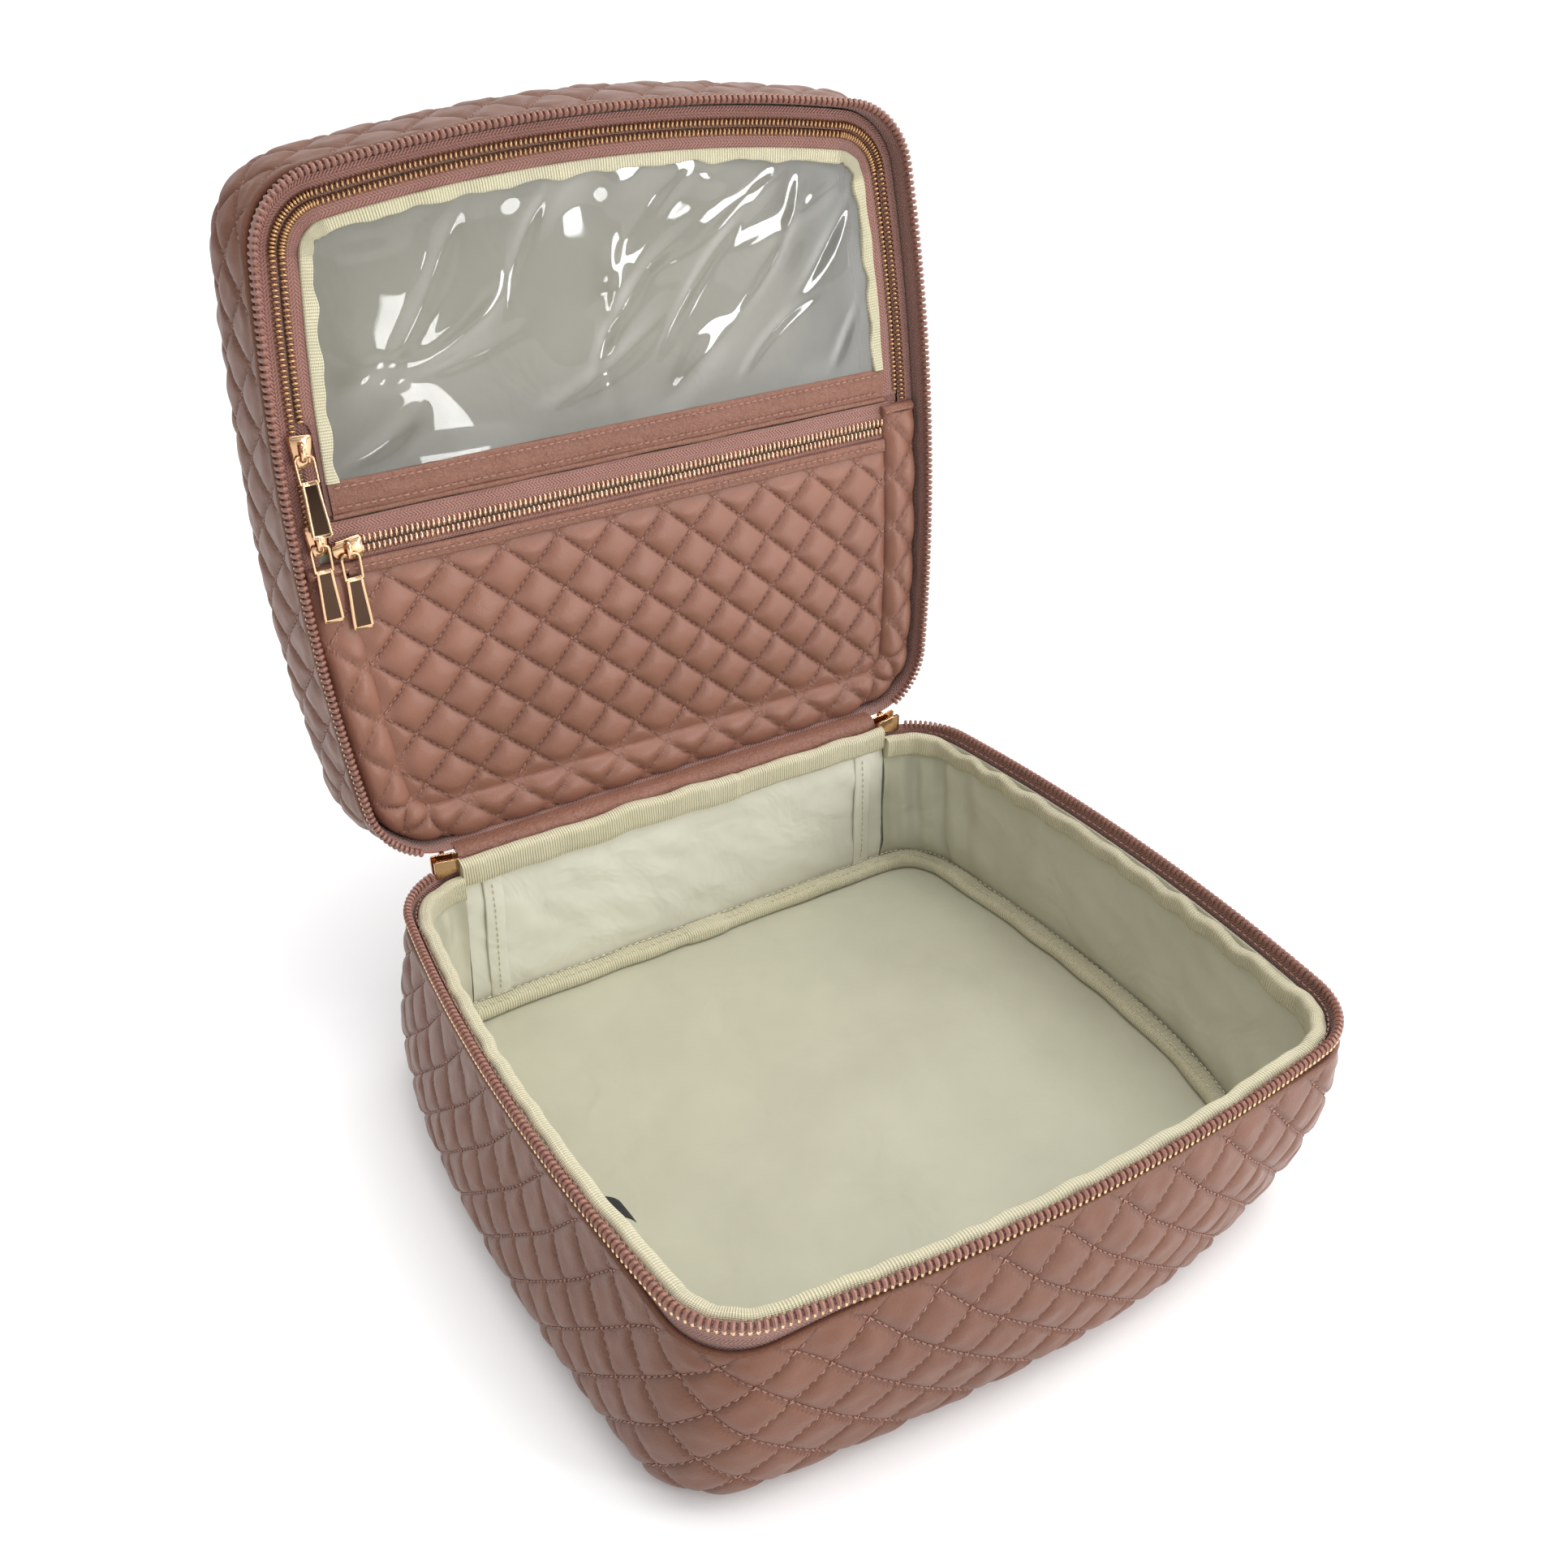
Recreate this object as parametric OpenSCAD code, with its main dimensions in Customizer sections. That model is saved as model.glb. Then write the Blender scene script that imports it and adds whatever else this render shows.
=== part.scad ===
// Quilted two-part makeup case that stands open: a deep base, a shallow lid with a clear zipped
// flap and a quilted pocket, three zips with their sliders and hanging pulls.
// Origin: centre of the flat underside. +Z up, front at -Y, hinge along X at the rear.

/* [Case] */
// width of both shells between the corner lines, mm
case_width = 250; // [200:5:320]
// depth of both shells from the rear wall to the front corner lines, mm
case_depth = 248; // [200:4:320]
// how far the side walls bow out at the middle, mm
side_bow = 10; // [4:1:16]
// how far the front wall bows out at the middle, mm
front_bow = 12; // [4:1:18]
// radius of the four vertical corners, mm
corner_radius = 30; // [26:1:40]
// height of the base from the ground to the zip line, mm
base_height = 80; // [60:2:120]
// depth of the lid behind the zip line, mm
lid_depth = 52; // [48:2:80]
// how far the lid stands open at rest, degrees
open_deg = 96; // [0:1:150]

/* [Walls] */
// quilted leather thickness, mm
leather = 3; // [2:0.5:4]
// underside set-in of the rounded bottom edge, mm
edge_in = 5; // [4:0.5:6]
// width left between leather and the zip line, mm
tape_show = 9; // [6:1:12]
// half width of the sewn hinge at the rear, mm
hinge_half = 96; // [80:1:100]
// half width of the separate rear lining panel, mm
rear_lining_half = 92; // [70:1:95]

/* [Zips] */
// width of one coil half, mm
coil_w = 2.1; // [1.8:0.1:2.6]
// thickness of a coil, mm
coil_t = 2.5; // [2:0.1:3]
// gap between two coil halves, mm
coil_gap = 1.4; // [1:0.1:2]
// tape thickness, mm
tape_t = 1; // [0.6:0.1:1.2]
// set-in of the flap zip's centre line from the case outline, mm
flap_zip_in = 11; // [10.5:0.5:13]

/* [Lid front, heights measured up from the hinge] */
// middle of the pocket zip, mm
pocket_zip_v = 126; // [110:1:140]
// fold line of the clear flap, mm
fold_v = 137; // [130:1:150]
// top of the leather band under the window, mm
band_top_v = 149.5; // [145:0.5:165]
// width of the padded border around the pocket, mm
border_w = 14; // [10:1:18]
// how far the lid front sits behind the zip line, mm
front_in = 7; // [6.5:0.5:9]

/* [Sliders and pulls] */
// slider length along its zip, mm
slider_len = 11; // [9:0.5:13]
// slider width, mm
slider_w = 8.5; // [7:0.5:10]
// pull length from its pivot to its tip, mm
pull_len = 28; // [22:1:36]
// pull width, mm
pull_w = 8; // [6:0.5:8.5]
// pull thickness, mm
pull_t = 1.2; // [1:0.1:1.3]
// upper flap slider's height above the hinge, mm
upper_slider_v = 162.5; // [160:0.5:170]
// lower flap slider's height above the hinge, mm
lower_slider_v = 131; // [130:0.5:134]
// outward tilt of the upper pull where it lies on the lower slider, degrees
upper_pull_tilt = 10; // [8:1:14]
// pocket slider's place across the case, mm
pocket_slider_x = -114; // [-116:1:100]
// distance of the two main sliders from the centre, mm
main_slider_x = 103; // [102:0.5:106]

/* [Hidden] */
$fn = 48;
eps = 0.05;
hair = 0.1;
rear_y = case_depth / 2;
rim_z = base_height;
axis_y = rear_y + 1;
zip_clear = 0.2;
// the side walls and the front wall are arcs of large circles
side_R = (rear_y * rear_y + side_bow * side_bow) / (2 * side_bow);
side_cx = case_width / 2 + side_bow - side_R;
front_R = (pow(case_width / 2, 2) + front_bow * front_bow) / (2 * front_bow);
front_cy = front_R - rear_y - front_bow;
// rear corner centre
rear_cy = rear_y - corner_radius;
rear_cx = side_cx + sqrt(pow(side_R - corner_radius, 2) - rear_cy * rear_cy);
// front corner centre: where the two shrunken circles cross
ra = side_R - corner_radius;
rb = front_R - corner_radius;
cc = sqrt(side_cx * side_cx + front_cy * front_cy);
ca = (ra * ra - rb * rb + cc * cc) / (2 * cc);
ch = sqrt(ra * ra - ca * ca);
ux = -side_cx / cc;
uy = front_cy / cc;
front_cx = side_cx + ca * ux + ch * uy;
front_cyc = ca * uy - ch * ux;
a_front = atan2(front_cyc - front_cy, front_cx);
a_side = atan2(front_cyc, front_cx - side_cx);
a_rear = atan2(rear_cy, rear_cx - side_cx);

foam_in = leather + eps;
foam_t = 1.85;
lining_in = foam_in + foam_t + eps;
lining_t = 0.8;
inside_in = lining_in + lining_t + eps;
edge_low = 4;
edge_high = 10;
edge_mid_in = 2;
floor_z = 8;
zip_in = 2;
front_h = front_in;
coil_h = front_in + 3;
back_h = 13.3;
outer_coil_in = flap_zip_in - coil_gap / 2 - coil_w;
inner_coil_in = flap_zip_in + coil_gap / 2;
inner_tape_in = inner_coil_in + coil_w + eps;
inner_tape_w = 4.5;
window_trim_in = inner_tape_in + inner_tape_w + eps;
window_trim_w = 3.5;
window_in = window_trim_in + window_trim_w + eps;
border_in = inside_in;
pocket_in = border_in + border_w + hair;
border_top_v = 121;
pull_N = 4.2;
pin_r = 0.6;
pin_back = 1.6;
mouth = 110;

leather_c = [0.72, 0.5, 0.45];
tape_c = [0.74, 0.5, 0.45];
coil_c = [0.78, 0.58, 0.45];
cream_c = [0.88, 0.86, 0.76];
lining_c = [0.84, 0.84, 0.78];
board_c = [0.7, 0.62, 0.5];
foam_c = [0.9, 0.9, 0.85];
gold_c = [0.92, 0.76, 0.5];
clear_c = [0.8, 0.85, 0.85, 0.4];
black_c = [0.08, 0.08, 0.08];

function arc(cx, cy, r, a0, a1, n) =
  [for (k = [0:n]) let (a = a0 + (a1 - a0) * k / n) [cx + r * cos(a), cy + r * sin(a)]];

function half_outline(i) = concat(
  arc(0, front_cy, front_R - i, -90, a_front, 6),
  arc(front_cx, front_cyc, corner_radius - i, a_front, a_side, 10),
  arc(side_cx, 0, side_R - i, a_side, a_rear, 12),
  arc(rear_cx, rear_cy, corner_radius - i, a_rear, 90, 10));

function case_outline(i) = let (h = half_outline(i), n = len(h)) concat(
  h, [for (k = [0:n - 2]) [-h[n - 1 - k][0], h[n - 1 - k][1]]]);

// half width of the case at depth y, for the left and right walls
function side_x(y, i) = side_cx + sqrt(pow(side_R - i, 2) - y * y);

module slab(i, z0, z1) {
  translate([0, 0, z0])
    linear_extrude(z1 - z0)
      polygon(case_outline(i));
}

module ring(i0, i1, z0, z1) {
  difference() {
    slab(i0, z0, z1);
    slab(i1, z0 - 1, z1 + 1);
  }
}

// a block round the middle of the rear wall
module rear_zone(half, z0 = -1, z1 = 400) {
  translate([-half, rear_y - 24, z0])
    cube([2 * half, 40, z1 - z0]);
}

// everything between two heights above the hinge, on the lid front
module lid_zone(v0, v1) {
  translate([-200, rear_y - v1, rim_z - 1])
    cube([400, v1 - v0, 100]);
}

// carries a closed-lid shape to where the open lid stands
module lid_pose() {
  translate([0, axis_y, rim_z])
    rotate([-open_deg, 0, 0])
      translate([0, -axis_y, -rim_z])
        children();
}

module lid_ring(i0, i1, h0, h1) {
  ring(i0, i1, rim_z + h0, rim_z + h1);
}

module lid_slab(i, h0, h1) {
  slab(i, rim_z + h0, rim_z + h1);
}

// straight strip across the lid front
module lid_strip(half, v0, v1, h0, h1) {
  translate([-half, rear_y - v1, rim_z + h0])
    cube([2 * half, v1 - v0, h1 - h0]);
}

// ---- base ----

module shell_wall(z0, z1, zs) {
  ring(0, leather, z0, z1);
  ring(edge_mid_in, edge_in, zs[0], zs[1]);
}

module base_wall() {
  color(leather_c)
    difference() {
      shell_wall(edge_high, rim_z - tape_show, [edge_low, edge_high]);
      rear_zone(hinge_half + 2);
    }
}

module base_rear_wall() {
  color(leather_c)
    intersection() {
      shell_wall(edge_high, rim_z - tape_show, [edge_low, edge_high]);
      rear_zone(hinge_half + 2 - hair);
    }
}

module base_bottom() {
  color(leather_c)
    slab(edge_in, 0, leather);
}

module base_board() {
  color(board_c)
    slab(edge_in + hair, leather + eps, 5);
}

module base_floor_foam() {
  color(foam_c)
    slab(edge_in + hair, 5 + eps, 7);
}

module base_lining_floor() {
  color(lining_c)
    slab(edge_in + hair, 7 + eps, floor_z);
}

module base_wall_foam() {
  color(foam_c)
    ring(foam_in, foam_in + foam_t, edge_high + eps, rim_z - 14);
}

module base_lining_side() {
  color(lining_c)
    difference() {
      ring(lining_in, lining_in + lining_t, edge_high + eps, rim_z - 6);
      rear_zone(rear_lining_half);
    }
}

module base_lining_rear() {
  color(lining_c)
    intersection() {
      ring(lining_in, lining_in + lining_t, edge_high + eps, rim_z - 6);
      rear_zone(rear_lining_half - hair);
    }
}

module rim_binding() {
  color(cream_c)
    difference() {
      ring(inside_in, inside_in + 2.5, rim_z - 14, rim_z - 5);
      rear_zone(rear_lining_half);
    }
}

module rim_binding_rear() {
  color(cream_c)
    intersection() {
      ring(inside_in, inside_in + 2.5, rim_z - 14, rim_z - 5);
      rear_zone(rear_lining_half - hair);
    }
}

module floor_binding() {
  color(cream_c)
    ring(inside_in, inside_in + 3.5, floor_z + eps, floor_z + 4);
}

module main_tape_lower() {
  color(tape_c)
    difference() {
      ring(foam_in, foam_in + tape_t, rim_z - 13, rim_z - 1.5);
      rear_zone(hinge_half + 1);
      rear_zone(mouth, rim_z - 7);
    }
}

module main_coil_lower() {
  color(coil_c)
    difference() {
      ring(zip_in - 1, zip_in + 1, rim_z - 3, rim_z - zip_clear);
      rear_zone(mouth);
    }
}

module hinge_strip_lower() {
  color(leather_c)
    intersection() {
      ring(0, leather, rim_z - tape_show + eps, rim_z - 2);
      rear_zone(hinge_half);
    }
}

module hinge_fold() {
  color(leather_c)
    translate([-hinge_half, axis_y, rim_z])
      rotate([0, 90, 0])
        cylinder(r = 1.4, h = 2 * hinge_half);
}

module care_label() {
  label_y = -54;
  color(black_c)
    translate([-side_x(label_y, inside_in) + 0.7, label_y - 6, 38])
      cube([0.8, 12, 20]);
}

// ---- zip hardware: local X along the zip, local Z out of the zip's face, origin on its centre ----

module slider_plates() {
  front_z = coil_t / 2 + 0.5;
  back_z = -coil_t / 2 - 0.45;
  translate([-slider_len / 2, -slider_w / 2, front_z])
    cube([slider_len, slider_w, 1.5]);
  translate([-slider_len / 2 + 0.5, -slider_w / 2 + 0.25, back_z - 1.2])
    cube([slider_len - 1, slider_w - 0.5, 1.2]);
  translate([slider_len / 2 - 3.5, -0.3, back_z - 0.5])
    cube([2.5, 0.6, front_z - back_z + 1]);
}

module slider_arch() {
  post = 1.2;
  arch_half = 3.6;
  for (s = [-1, 1])
    translate([s * (arch_half - post / 2) - post / 2, -1, coil_t / 2 + 1.9])
      cube([post, 2, 2.9]);
  translate([-arch_half, -1, 5.1])
    cube([2 * arch_half, 2, 1.2]);
}

// arch_turn 0: the arch lies along the zip; 90: across it
module slider(arch_turn) {
  color(gold_c)
    union() {
      slider_plates();
      rotate([0, 0, arch_turn])
        slider_arch();
    }
}

// pull hanging towards local -Y from a pin along local X, origin on the pin
module pull() {
  loop = 8;
  leg = 1.4;
  color(gold_c)
    union() {
      rotate([0, 90, 0])
        translate([0, 0, -pull_w / 2])
          cylinder(r = pin_r, h = pull_w);
      for (s = [-1, 1])
        translate([s * (pull_w / 2 - leg / 2) - leg / 2, -loop, -pull_t / 2])
          cube([leg, loop, pull_t]);
      translate([-pull_w / 2, -pull_len, -pull_t / 2])
        cube([pull_w, pull_len - loop + hair, pull_t]);
    }
}

// local frame of the rear zip end: X along the rear wall, Z pointing away from the case
module main_zip_frame(x) {
  translate([x, rear_y - zip_in, rim_z])
    rotate([90, 0, 180])
      children();
}

// local frame on the lid front: X across, Y up the lid, Z towards the viewer
module lid_front_frame(x, v) {
  translate([x, rear_y - v, rim_z + coil_h])
    rotate([180, 0, 0])
      children();
}

module main_slider_left() {
  main_zip_frame(-main_slider_x)
    slider(90);
}

module main_slider_right() {
  main_zip_frame(main_slider_x)
    mirror([1, 0, 0])
      slider(90);
}

module main_pull_left() {
  main_zip_frame(-main_slider_x)
    translate([0, -pin_back, pull_N])
      pull();
}

module main_pull_right() {
  main_zip_frame(main_slider_x)
    translate([0, -pin_back, pull_N])
      pull();
}

// ---- lid shell ----

module lid_shell_wall() {
  lid_ring(0, leather, tape_show, lid_depth - edge_high);
  lid_ring(edge_mid_in, edge_in, lid_depth - edge_high, lid_depth - edge_low);
}

module lid_wall() {
  lid_pose()
    color(leather_c)
      difference() {
        lid_shell_wall();
        rear_zone(hinge_half + 2);
      }
}

module lid_rear_wall() {
  lid_pose()
    color(leather_c)
      intersection() {
        lid_shell_wall();
        rear_zone(hinge_half + 2 - hair);
      }
}

module lid_top() {
  lid_pose()
    color(leather_c)
      lid_slab(edge_in, lid_depth - leather, lid_depth);
}

module lid_board() {
  lid_pose()
    color(board_c)
      lid_slab(edge_in + hair, lid_depth - 5, lid_depth - leather - eps);
}

module lid_wall_foam() {
  lid_pose()
    color(foam_c)
      lid_ring(foam_in, foam_in + foam_t, 14, lid_depth - edge_high - eps);
}

module lid_lining_wall() {
  lid_pose()
    color(lining_c)
      lid_ring(lining_in, lining_in + lining_t, 5.5, lid_depth - edge_high - eps);
}

module lid_lining_back() {
  lid_pose()
    color(lining_c)
      lid_slab(edge_in + hair, lid_depth - 6, lid_depth - 5 - eps);
}

module main_tape_upper() {
  lid_pose()
    color(tape_c)
      difference() {
        lid_ring(foam_in, foam_in + tape_t, 1.5, 13);
        rear_zone(hinge_half + 1);
        rear_zone(mouth, rim_z - 1, rim_z + 7);
      }
}

module main_coil_upper() {
  lid_pose()
    color(coil_c)
      difference() {
        lid_ring(zip_in - 1, zip_in + 1, zip_clear, 3);
        rear_zone(mouth);
      }
}

module hinge_strip_upper() {
  lid_pose()
    color(leather_c)
      intersection() {
        lid_ring(0, leather, 2, tape_show - eps);
        rear_zone(hinge_half);
      }
}

// ---- lid front ----

module flap_zip_tape_outer() {
  lid_pose()
    color(tape_c)
      intersection() {
        lid_ring(inside_in, outer_coil_in - eps, coil_h - tape_t / 2, coil_h + tape_t / 2);
        lid_zone(border_top_v + 5, 300);
      }
}

module flap_zip_coil_outer() {
  lid_pose()
    color(coil_c)
      intersection() {
        lid_ring(outer_coil_in, outer_coil_in + coil_w, coil_h - coil_t / 2, coil_h + coil_t / 2);
        lid_zone(border_top_v + 5, 300);
      }
}

module pocket_border() {
  lid_pose()
    color(leather_c)
      intersection() {
        lid_ring(border_in, border_in + border_w, front_h, back_h - hair);
        lid_zone(0, border_top_v - 3);
      }
}

// folded hems that close the two upper ends of the border
module border_hem() {
  lid_pose()
    color(leather_c)
      intersection() {
        lid_ring(border_in, border_in + border_w, front_h, back_h - hair);
        lid_zone(border_top_v - 3 + hair, border_top_v);
      }
}

module pocket_panel() {
  lid_pose()
    color(leather_c)
      intersection() {
        lid_slab(pocket_in, front_h, front_h + 3.5);
        lid_zone(0, border_top_v - 5);
      }
}

module pocket_hem() {
  half = side_x(0, pocket_in) - 1;
  lid_pose()
    color(leather_c)
      lid_strip(half, border_top_v - 5 + hair, border_top_v, front_h + 0.5, front_h + 3);
}

module pocket_tape_lower() {
  half = side_x(0, pocket_in) - 1;
  lid_pose()
    color(tape_c)
      lid_strip(half, border_top_v + eps, pocket_zip_v - coil_gap / 2 - coil_w - eps,
        coil_h - tape_t / 2, coil_h + tape_t / 2);
}

module pocket_coil(side) {
  half = side_x(0, pocket_in) - 1;
  v0 = side < 0 ? pocket_zip_v - coil_gap / 2 - coil_w : pocket_zip_v + coil_gap / 2;
  color(coil_c)
    lid_strip(half, v0, v0 + coil_w, coil_h - coil_t / 2, coil_h + coil_t / 2);
}

module pocket_coil_lower() {
  lid_pose()
    pocket_coil(-1);
}

module pocket_coil_upper() {
  lid_pose()
    pocket_coil(1);
}

module pocket_tape_upper() {
  half = side_x(0, pocket_in) - 1;
  lid_pose()
    color(tape_c)
      lid_strip(half, pocket_zip_v + coil_gap / 2 + coil_w + eps, fold_v - 1.5,
        coil_h - tape_t / 2, coil_h + tape_t / 2);
}

module pocket_divider() {
  lid_pose()
    color(lining_c)
      intersection() {
        lid_slab(inside_in, back_h, back_h + 0.8);
        lid_zone(0, fold_v - 1);
      }
}

// ---- clear flap ----

// room left in the flap's zip edge where the two sliders stand
module slider_notch() {
  notch_x = side_x(rear_y - upper_slider_v, flap_zip_in) - slider_w / 2 - 0.8;
  translate([-200, rear_y - upper_slider_v - 8, rim_z - 1])
    cube([200 - notch_x, 60, 60]);
}

module flap_part(i0, i1, h0, h1, v0) {
  difference() {
    intersection() {
      lid_ring(i0, i1, h0, h1);
      lid_zone(v0, 300);
    }
    slider_notch();
  }
}

module flap_window() {
  lid_pose()
    color(clear_c)
      intersection() {
        lid_slab(window_in, coil_h - 0.3, coil_h + 0.3);
        lid_zone(band_top_v + hair, 300);
      }
}

module flap_binding() {
  lid_pose()
    color(cream_c)
      intersection() {
        lid_ring(window_trim_in, window_trim_in + window_trim_w, coil_h - 1, coil_h + 1);
        lid_zone(band_top_v + hair, 300);
      }
}

module flap_tape_inner() {
  lid_pose()
    color(tape_c)
      flap_part(inner_tape_in, inner_tape_in + inner_tape_w,
        coil_h - tape_t / 2, coil_h + tape_t / 2, fold_v + 1);
}

module flap_coil_inner() {
  lid_pose()
    color(coil_c)
      flap_part(inner_coil_in, inner_coil_in + coil_w,
        coil_h - coil_t / 2, coil_h + coil_t / 2, fold_v + 1);
}

module flap_band() {
  half = side_x(0, window_trim_in) - 1;
  lid_pose()
    color(leather_c)
      lid_strip(half, fold_v + 1, band_top_v, coil_h - 1, coil_h + 1);
}

// rolled lower edge of the band, which the flap folds on
module flap_fold_edge() {
  half = side_x(0, window_trim_in) - 1;
  lid_pose()
    color(leather_c)
      translate([-half, rear_y - fold_v, rim_z + coil_h])
        rotate([0, 90, 0])
          cylinder(r = 0.9, h = 2 * half);
}

// ---- flap and pocket sliders ----

// frame on the flap zip's left run: local X up the zip, Z towards the viewer
module flap_zip_frame(v, travel) {
  y0 = rear_y - v;
  x0 = -side_x(y0, flap_zip_in);
  x1 = -side_x(y0 - travel, flap_zip_in);
  lean = atan2(x1 - x0, travel);
  translate([x0, y0, rim_z + coil_h])
    rotate([180, 0, 90 + lean])
      rotate([0, 0, 180])
        children();
}

module flap_slider_upper() {
  lid_pose()
    flap_zip_frame(upper_slider_v, 40)
      slider(0);
}

module flap_slider_lower() {
  lid_pose()
    flap_zip_frame(lower_slider_v, 15)
      slider(0);
}

module flap_pull_upper() {
  x = -side_x(rear_y - upper_slider_v, flap_zip_in);
  lid_pose()
    lid_front_frame(x, upper_slider_v)
      translate([0, -pin_back, pull_N])
        rotate([-upper_pull_tilt, 0, 0])
          pull();
}

module flap_pull_lower() {
  x = -side_x(rear_y - lower_slider_v, flap_zip_in);
  lid_pose()
    lid_front_frame(x, lower_slider_v)
      translate([0, -pin_back, pull_N])
        pull();
}

module pocket_slider() {
  lid_pose()
    lid_front_frame(pocket_slider_x, pocket_zip_v)
      slider(90);
}

module pocket_pull() {
  lid_pose()
    lid_front_frame(pocket_slider_x, pocket_zip_v)
      translate([0, -pin_back, pull_N])
        pull();
}

base_wall();
base_rear_wall();
base_bottom();
base_board();
base_floor_foam();
base_wall_foam();
base_lining_side();
base_lining_rear();
base_lining_floor();
rim_binding();
rim_binding_rear();
floor_binding();
main_tape_lower();
main_coil_lower();
hinge_strip_lower();
hinge_fold();
care_label();
main_slider_left();
main_slider_right();
lid_wall();
lid_rear_wall();
lid_top();
lid_board();
lid_wall_foam();
lid_lining_wall();
lid_lining_back();
main_tape_upper();
main_coil_upper();
hinge_strip_upper();
flap_zip_tape_outer();
flap_zip_coil_outer();
pocket_border();
border_hem();
pocket_panel();
pocket_hem();
pocket_tape_lower();
pocket_coil_lower();
pocket_coil_upper();
pocket_tape_upper();
pocket_divider();
flap_window();
flap_binding();
flap_tape_inner();
flap_coil_inner();
flap_band();
flap_fold_edge();
flap_slider_upper();
flap_slider_lower();
flap_pull_upper();
flap_pull_lower();
pocket_slider();
pocket_pull();
main_pull_left();
main_pull_right();
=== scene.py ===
"""A soft quilted makeup bag standing open: the looks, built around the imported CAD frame."""
import math

import bmesh
import bpy
import numpy as np
from mathutils import Matrix, Vector


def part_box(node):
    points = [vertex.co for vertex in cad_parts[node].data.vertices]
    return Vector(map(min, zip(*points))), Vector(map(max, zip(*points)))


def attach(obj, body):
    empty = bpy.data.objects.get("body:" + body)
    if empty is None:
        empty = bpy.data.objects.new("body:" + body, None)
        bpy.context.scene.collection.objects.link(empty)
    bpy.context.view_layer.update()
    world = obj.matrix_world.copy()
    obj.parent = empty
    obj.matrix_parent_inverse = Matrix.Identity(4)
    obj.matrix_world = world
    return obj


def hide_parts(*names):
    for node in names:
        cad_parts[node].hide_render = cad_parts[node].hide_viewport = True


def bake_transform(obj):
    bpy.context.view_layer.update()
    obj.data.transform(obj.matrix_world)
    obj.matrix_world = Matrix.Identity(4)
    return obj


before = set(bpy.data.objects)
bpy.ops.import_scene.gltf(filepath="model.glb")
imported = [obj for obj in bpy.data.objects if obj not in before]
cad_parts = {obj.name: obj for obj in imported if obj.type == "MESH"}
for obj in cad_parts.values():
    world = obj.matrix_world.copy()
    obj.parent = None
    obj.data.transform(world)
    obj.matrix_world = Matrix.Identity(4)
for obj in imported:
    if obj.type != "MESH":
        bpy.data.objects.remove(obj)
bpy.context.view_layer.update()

# ---------- the case's own numbers, in millimetres, as in the CAD ----------
MM = 0.001
REAR_Y, RIM_Z, AXIS_Y = 124.0, 80.0, 125.0
BASE_DEPTH, LID_DEPTH = 80.0, 52.0
OPEN = math.radians(96.0)
SIDE_R, SIDE_CX = 773.8, -638.8
FRONT_R = (125.0**2 + 12.0**2) / 24.0
FRONT_CY = FRONT_R - 136.0
CORNER_R = 30.0
TAPE_SHOW = 9.0  # how much of the main zip's tape shows under the coil
FOLD_V, POCKET_TOP_V, BORDER_TOP_V = 137.0, 116.0, 118.0  # heights on the open lid, from its rear edge
NOTCH_X, NOTCH_V = 118.0, 170.5  # where the flap makes room for the parked sliders
RIGHT_HEM_V = 131.3  # the border runs higher on the right, where no slider parks
CELL = 22.0  # a quilting diamond's diagonals
WALL_V = 19.6  # their height on the walls
STEPS = 16  # grid steps along a diagonal


# ---------- the outline of the rim ----------
def corner_centres():
    rear_cy = REAR_Y - CORNER_R
    rear_cx = SIDE_CX + math.sqrt((SIDE_R - CORNER_R) ** 2 - rear_cy**2)
    ra, rb = SIDE_R - CORNER_R, FRONT_R - CORNER_R
    cc = math.hypot(SIDE_CX, FRONT_CY)
    ca = (ra**2 - rb**2 + cc**2) / (2 * cc)
    ch = math.sqrt(ra**2 - ca**2)
    ux, uy = -SIDE_CX / cc, FRONT_CY / cc
    return (SIDE_CX + ca * ux + ch * uy, ca * uy - ch * ux), (rear_cx, rear_cy)


FRONT_C, REAR_C = corner_centres()
A_FRONT = math.atan2(FRONT_C[1] - FRONT_CY, FRONT_C[0])
A_SIDE = math.atan2(FRONT_C[1], FRONT_C[0] - SIDE_CX)
A_REAR = math.atan2(REAR_C[1], REAR_C[0] - SIDE_CX)


def outline():
    """Dense points and outward normals of the rim, from the front's middle to the right and round."""
    parts = []
    for (cx, cy), r, a0, a1, n in (
        ((0, FRONT_CY), FRONT_R, -math.pi / 2, A_FRONT, 60),
        (FRONT_C, CORNER_R, A_FRONT, A_SIDE, 60),
        ((SIDE_CX, 0), SIDE_R, A_SIDE, A_REAR, 90),
        (REAR_C, CORNER_R, A_REAR, math.pi / 2, 60),
    ):
        a = np.linspace(a0, a1, n)
        c, s = np.cos(a), np.sin(a)
        parts.append(np.c_[cx + r * c, cy + r * s, c, s])
    half = np.vstack(parts)
    other = half[::-1] * [-1, 1, -1, 1]
    whole = np.vstack([half, other])
    step = np.hypot(*np.diff(whole[:, :2], axis=0).T)
    keep = np.r_[True, step > 1e-6]
    whole = whole[keep]
    length = np.r_[0, np.cumsum(np.hypot(*np.diff(whole[:, :2], axis=0).T))]
    return whole, length


RIM, RIM_S = outline()
AROUND = RIM_S[-1]
HALF = AROUND / 2


def rim(s, inset=0.0):
    """Point of the rim at arc length s from the front's middle, moved inwards."""
    s = np.mod(s, AROUND)
    x, y, nx, ny = (np.interp(s, RIM_S, RIM[:, k]) for k in range(4))
    return x - inset * nx, y - inset * ny


def s_at_y(y, inset=0.0):
    right = RIM_S <= HALF + 1e-6
    ys = RIM[right, 1] - inset * RIM[right, 3]
    return float(np.interp(y, ys[:-40], RIM_S[right][:-40]))


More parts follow.
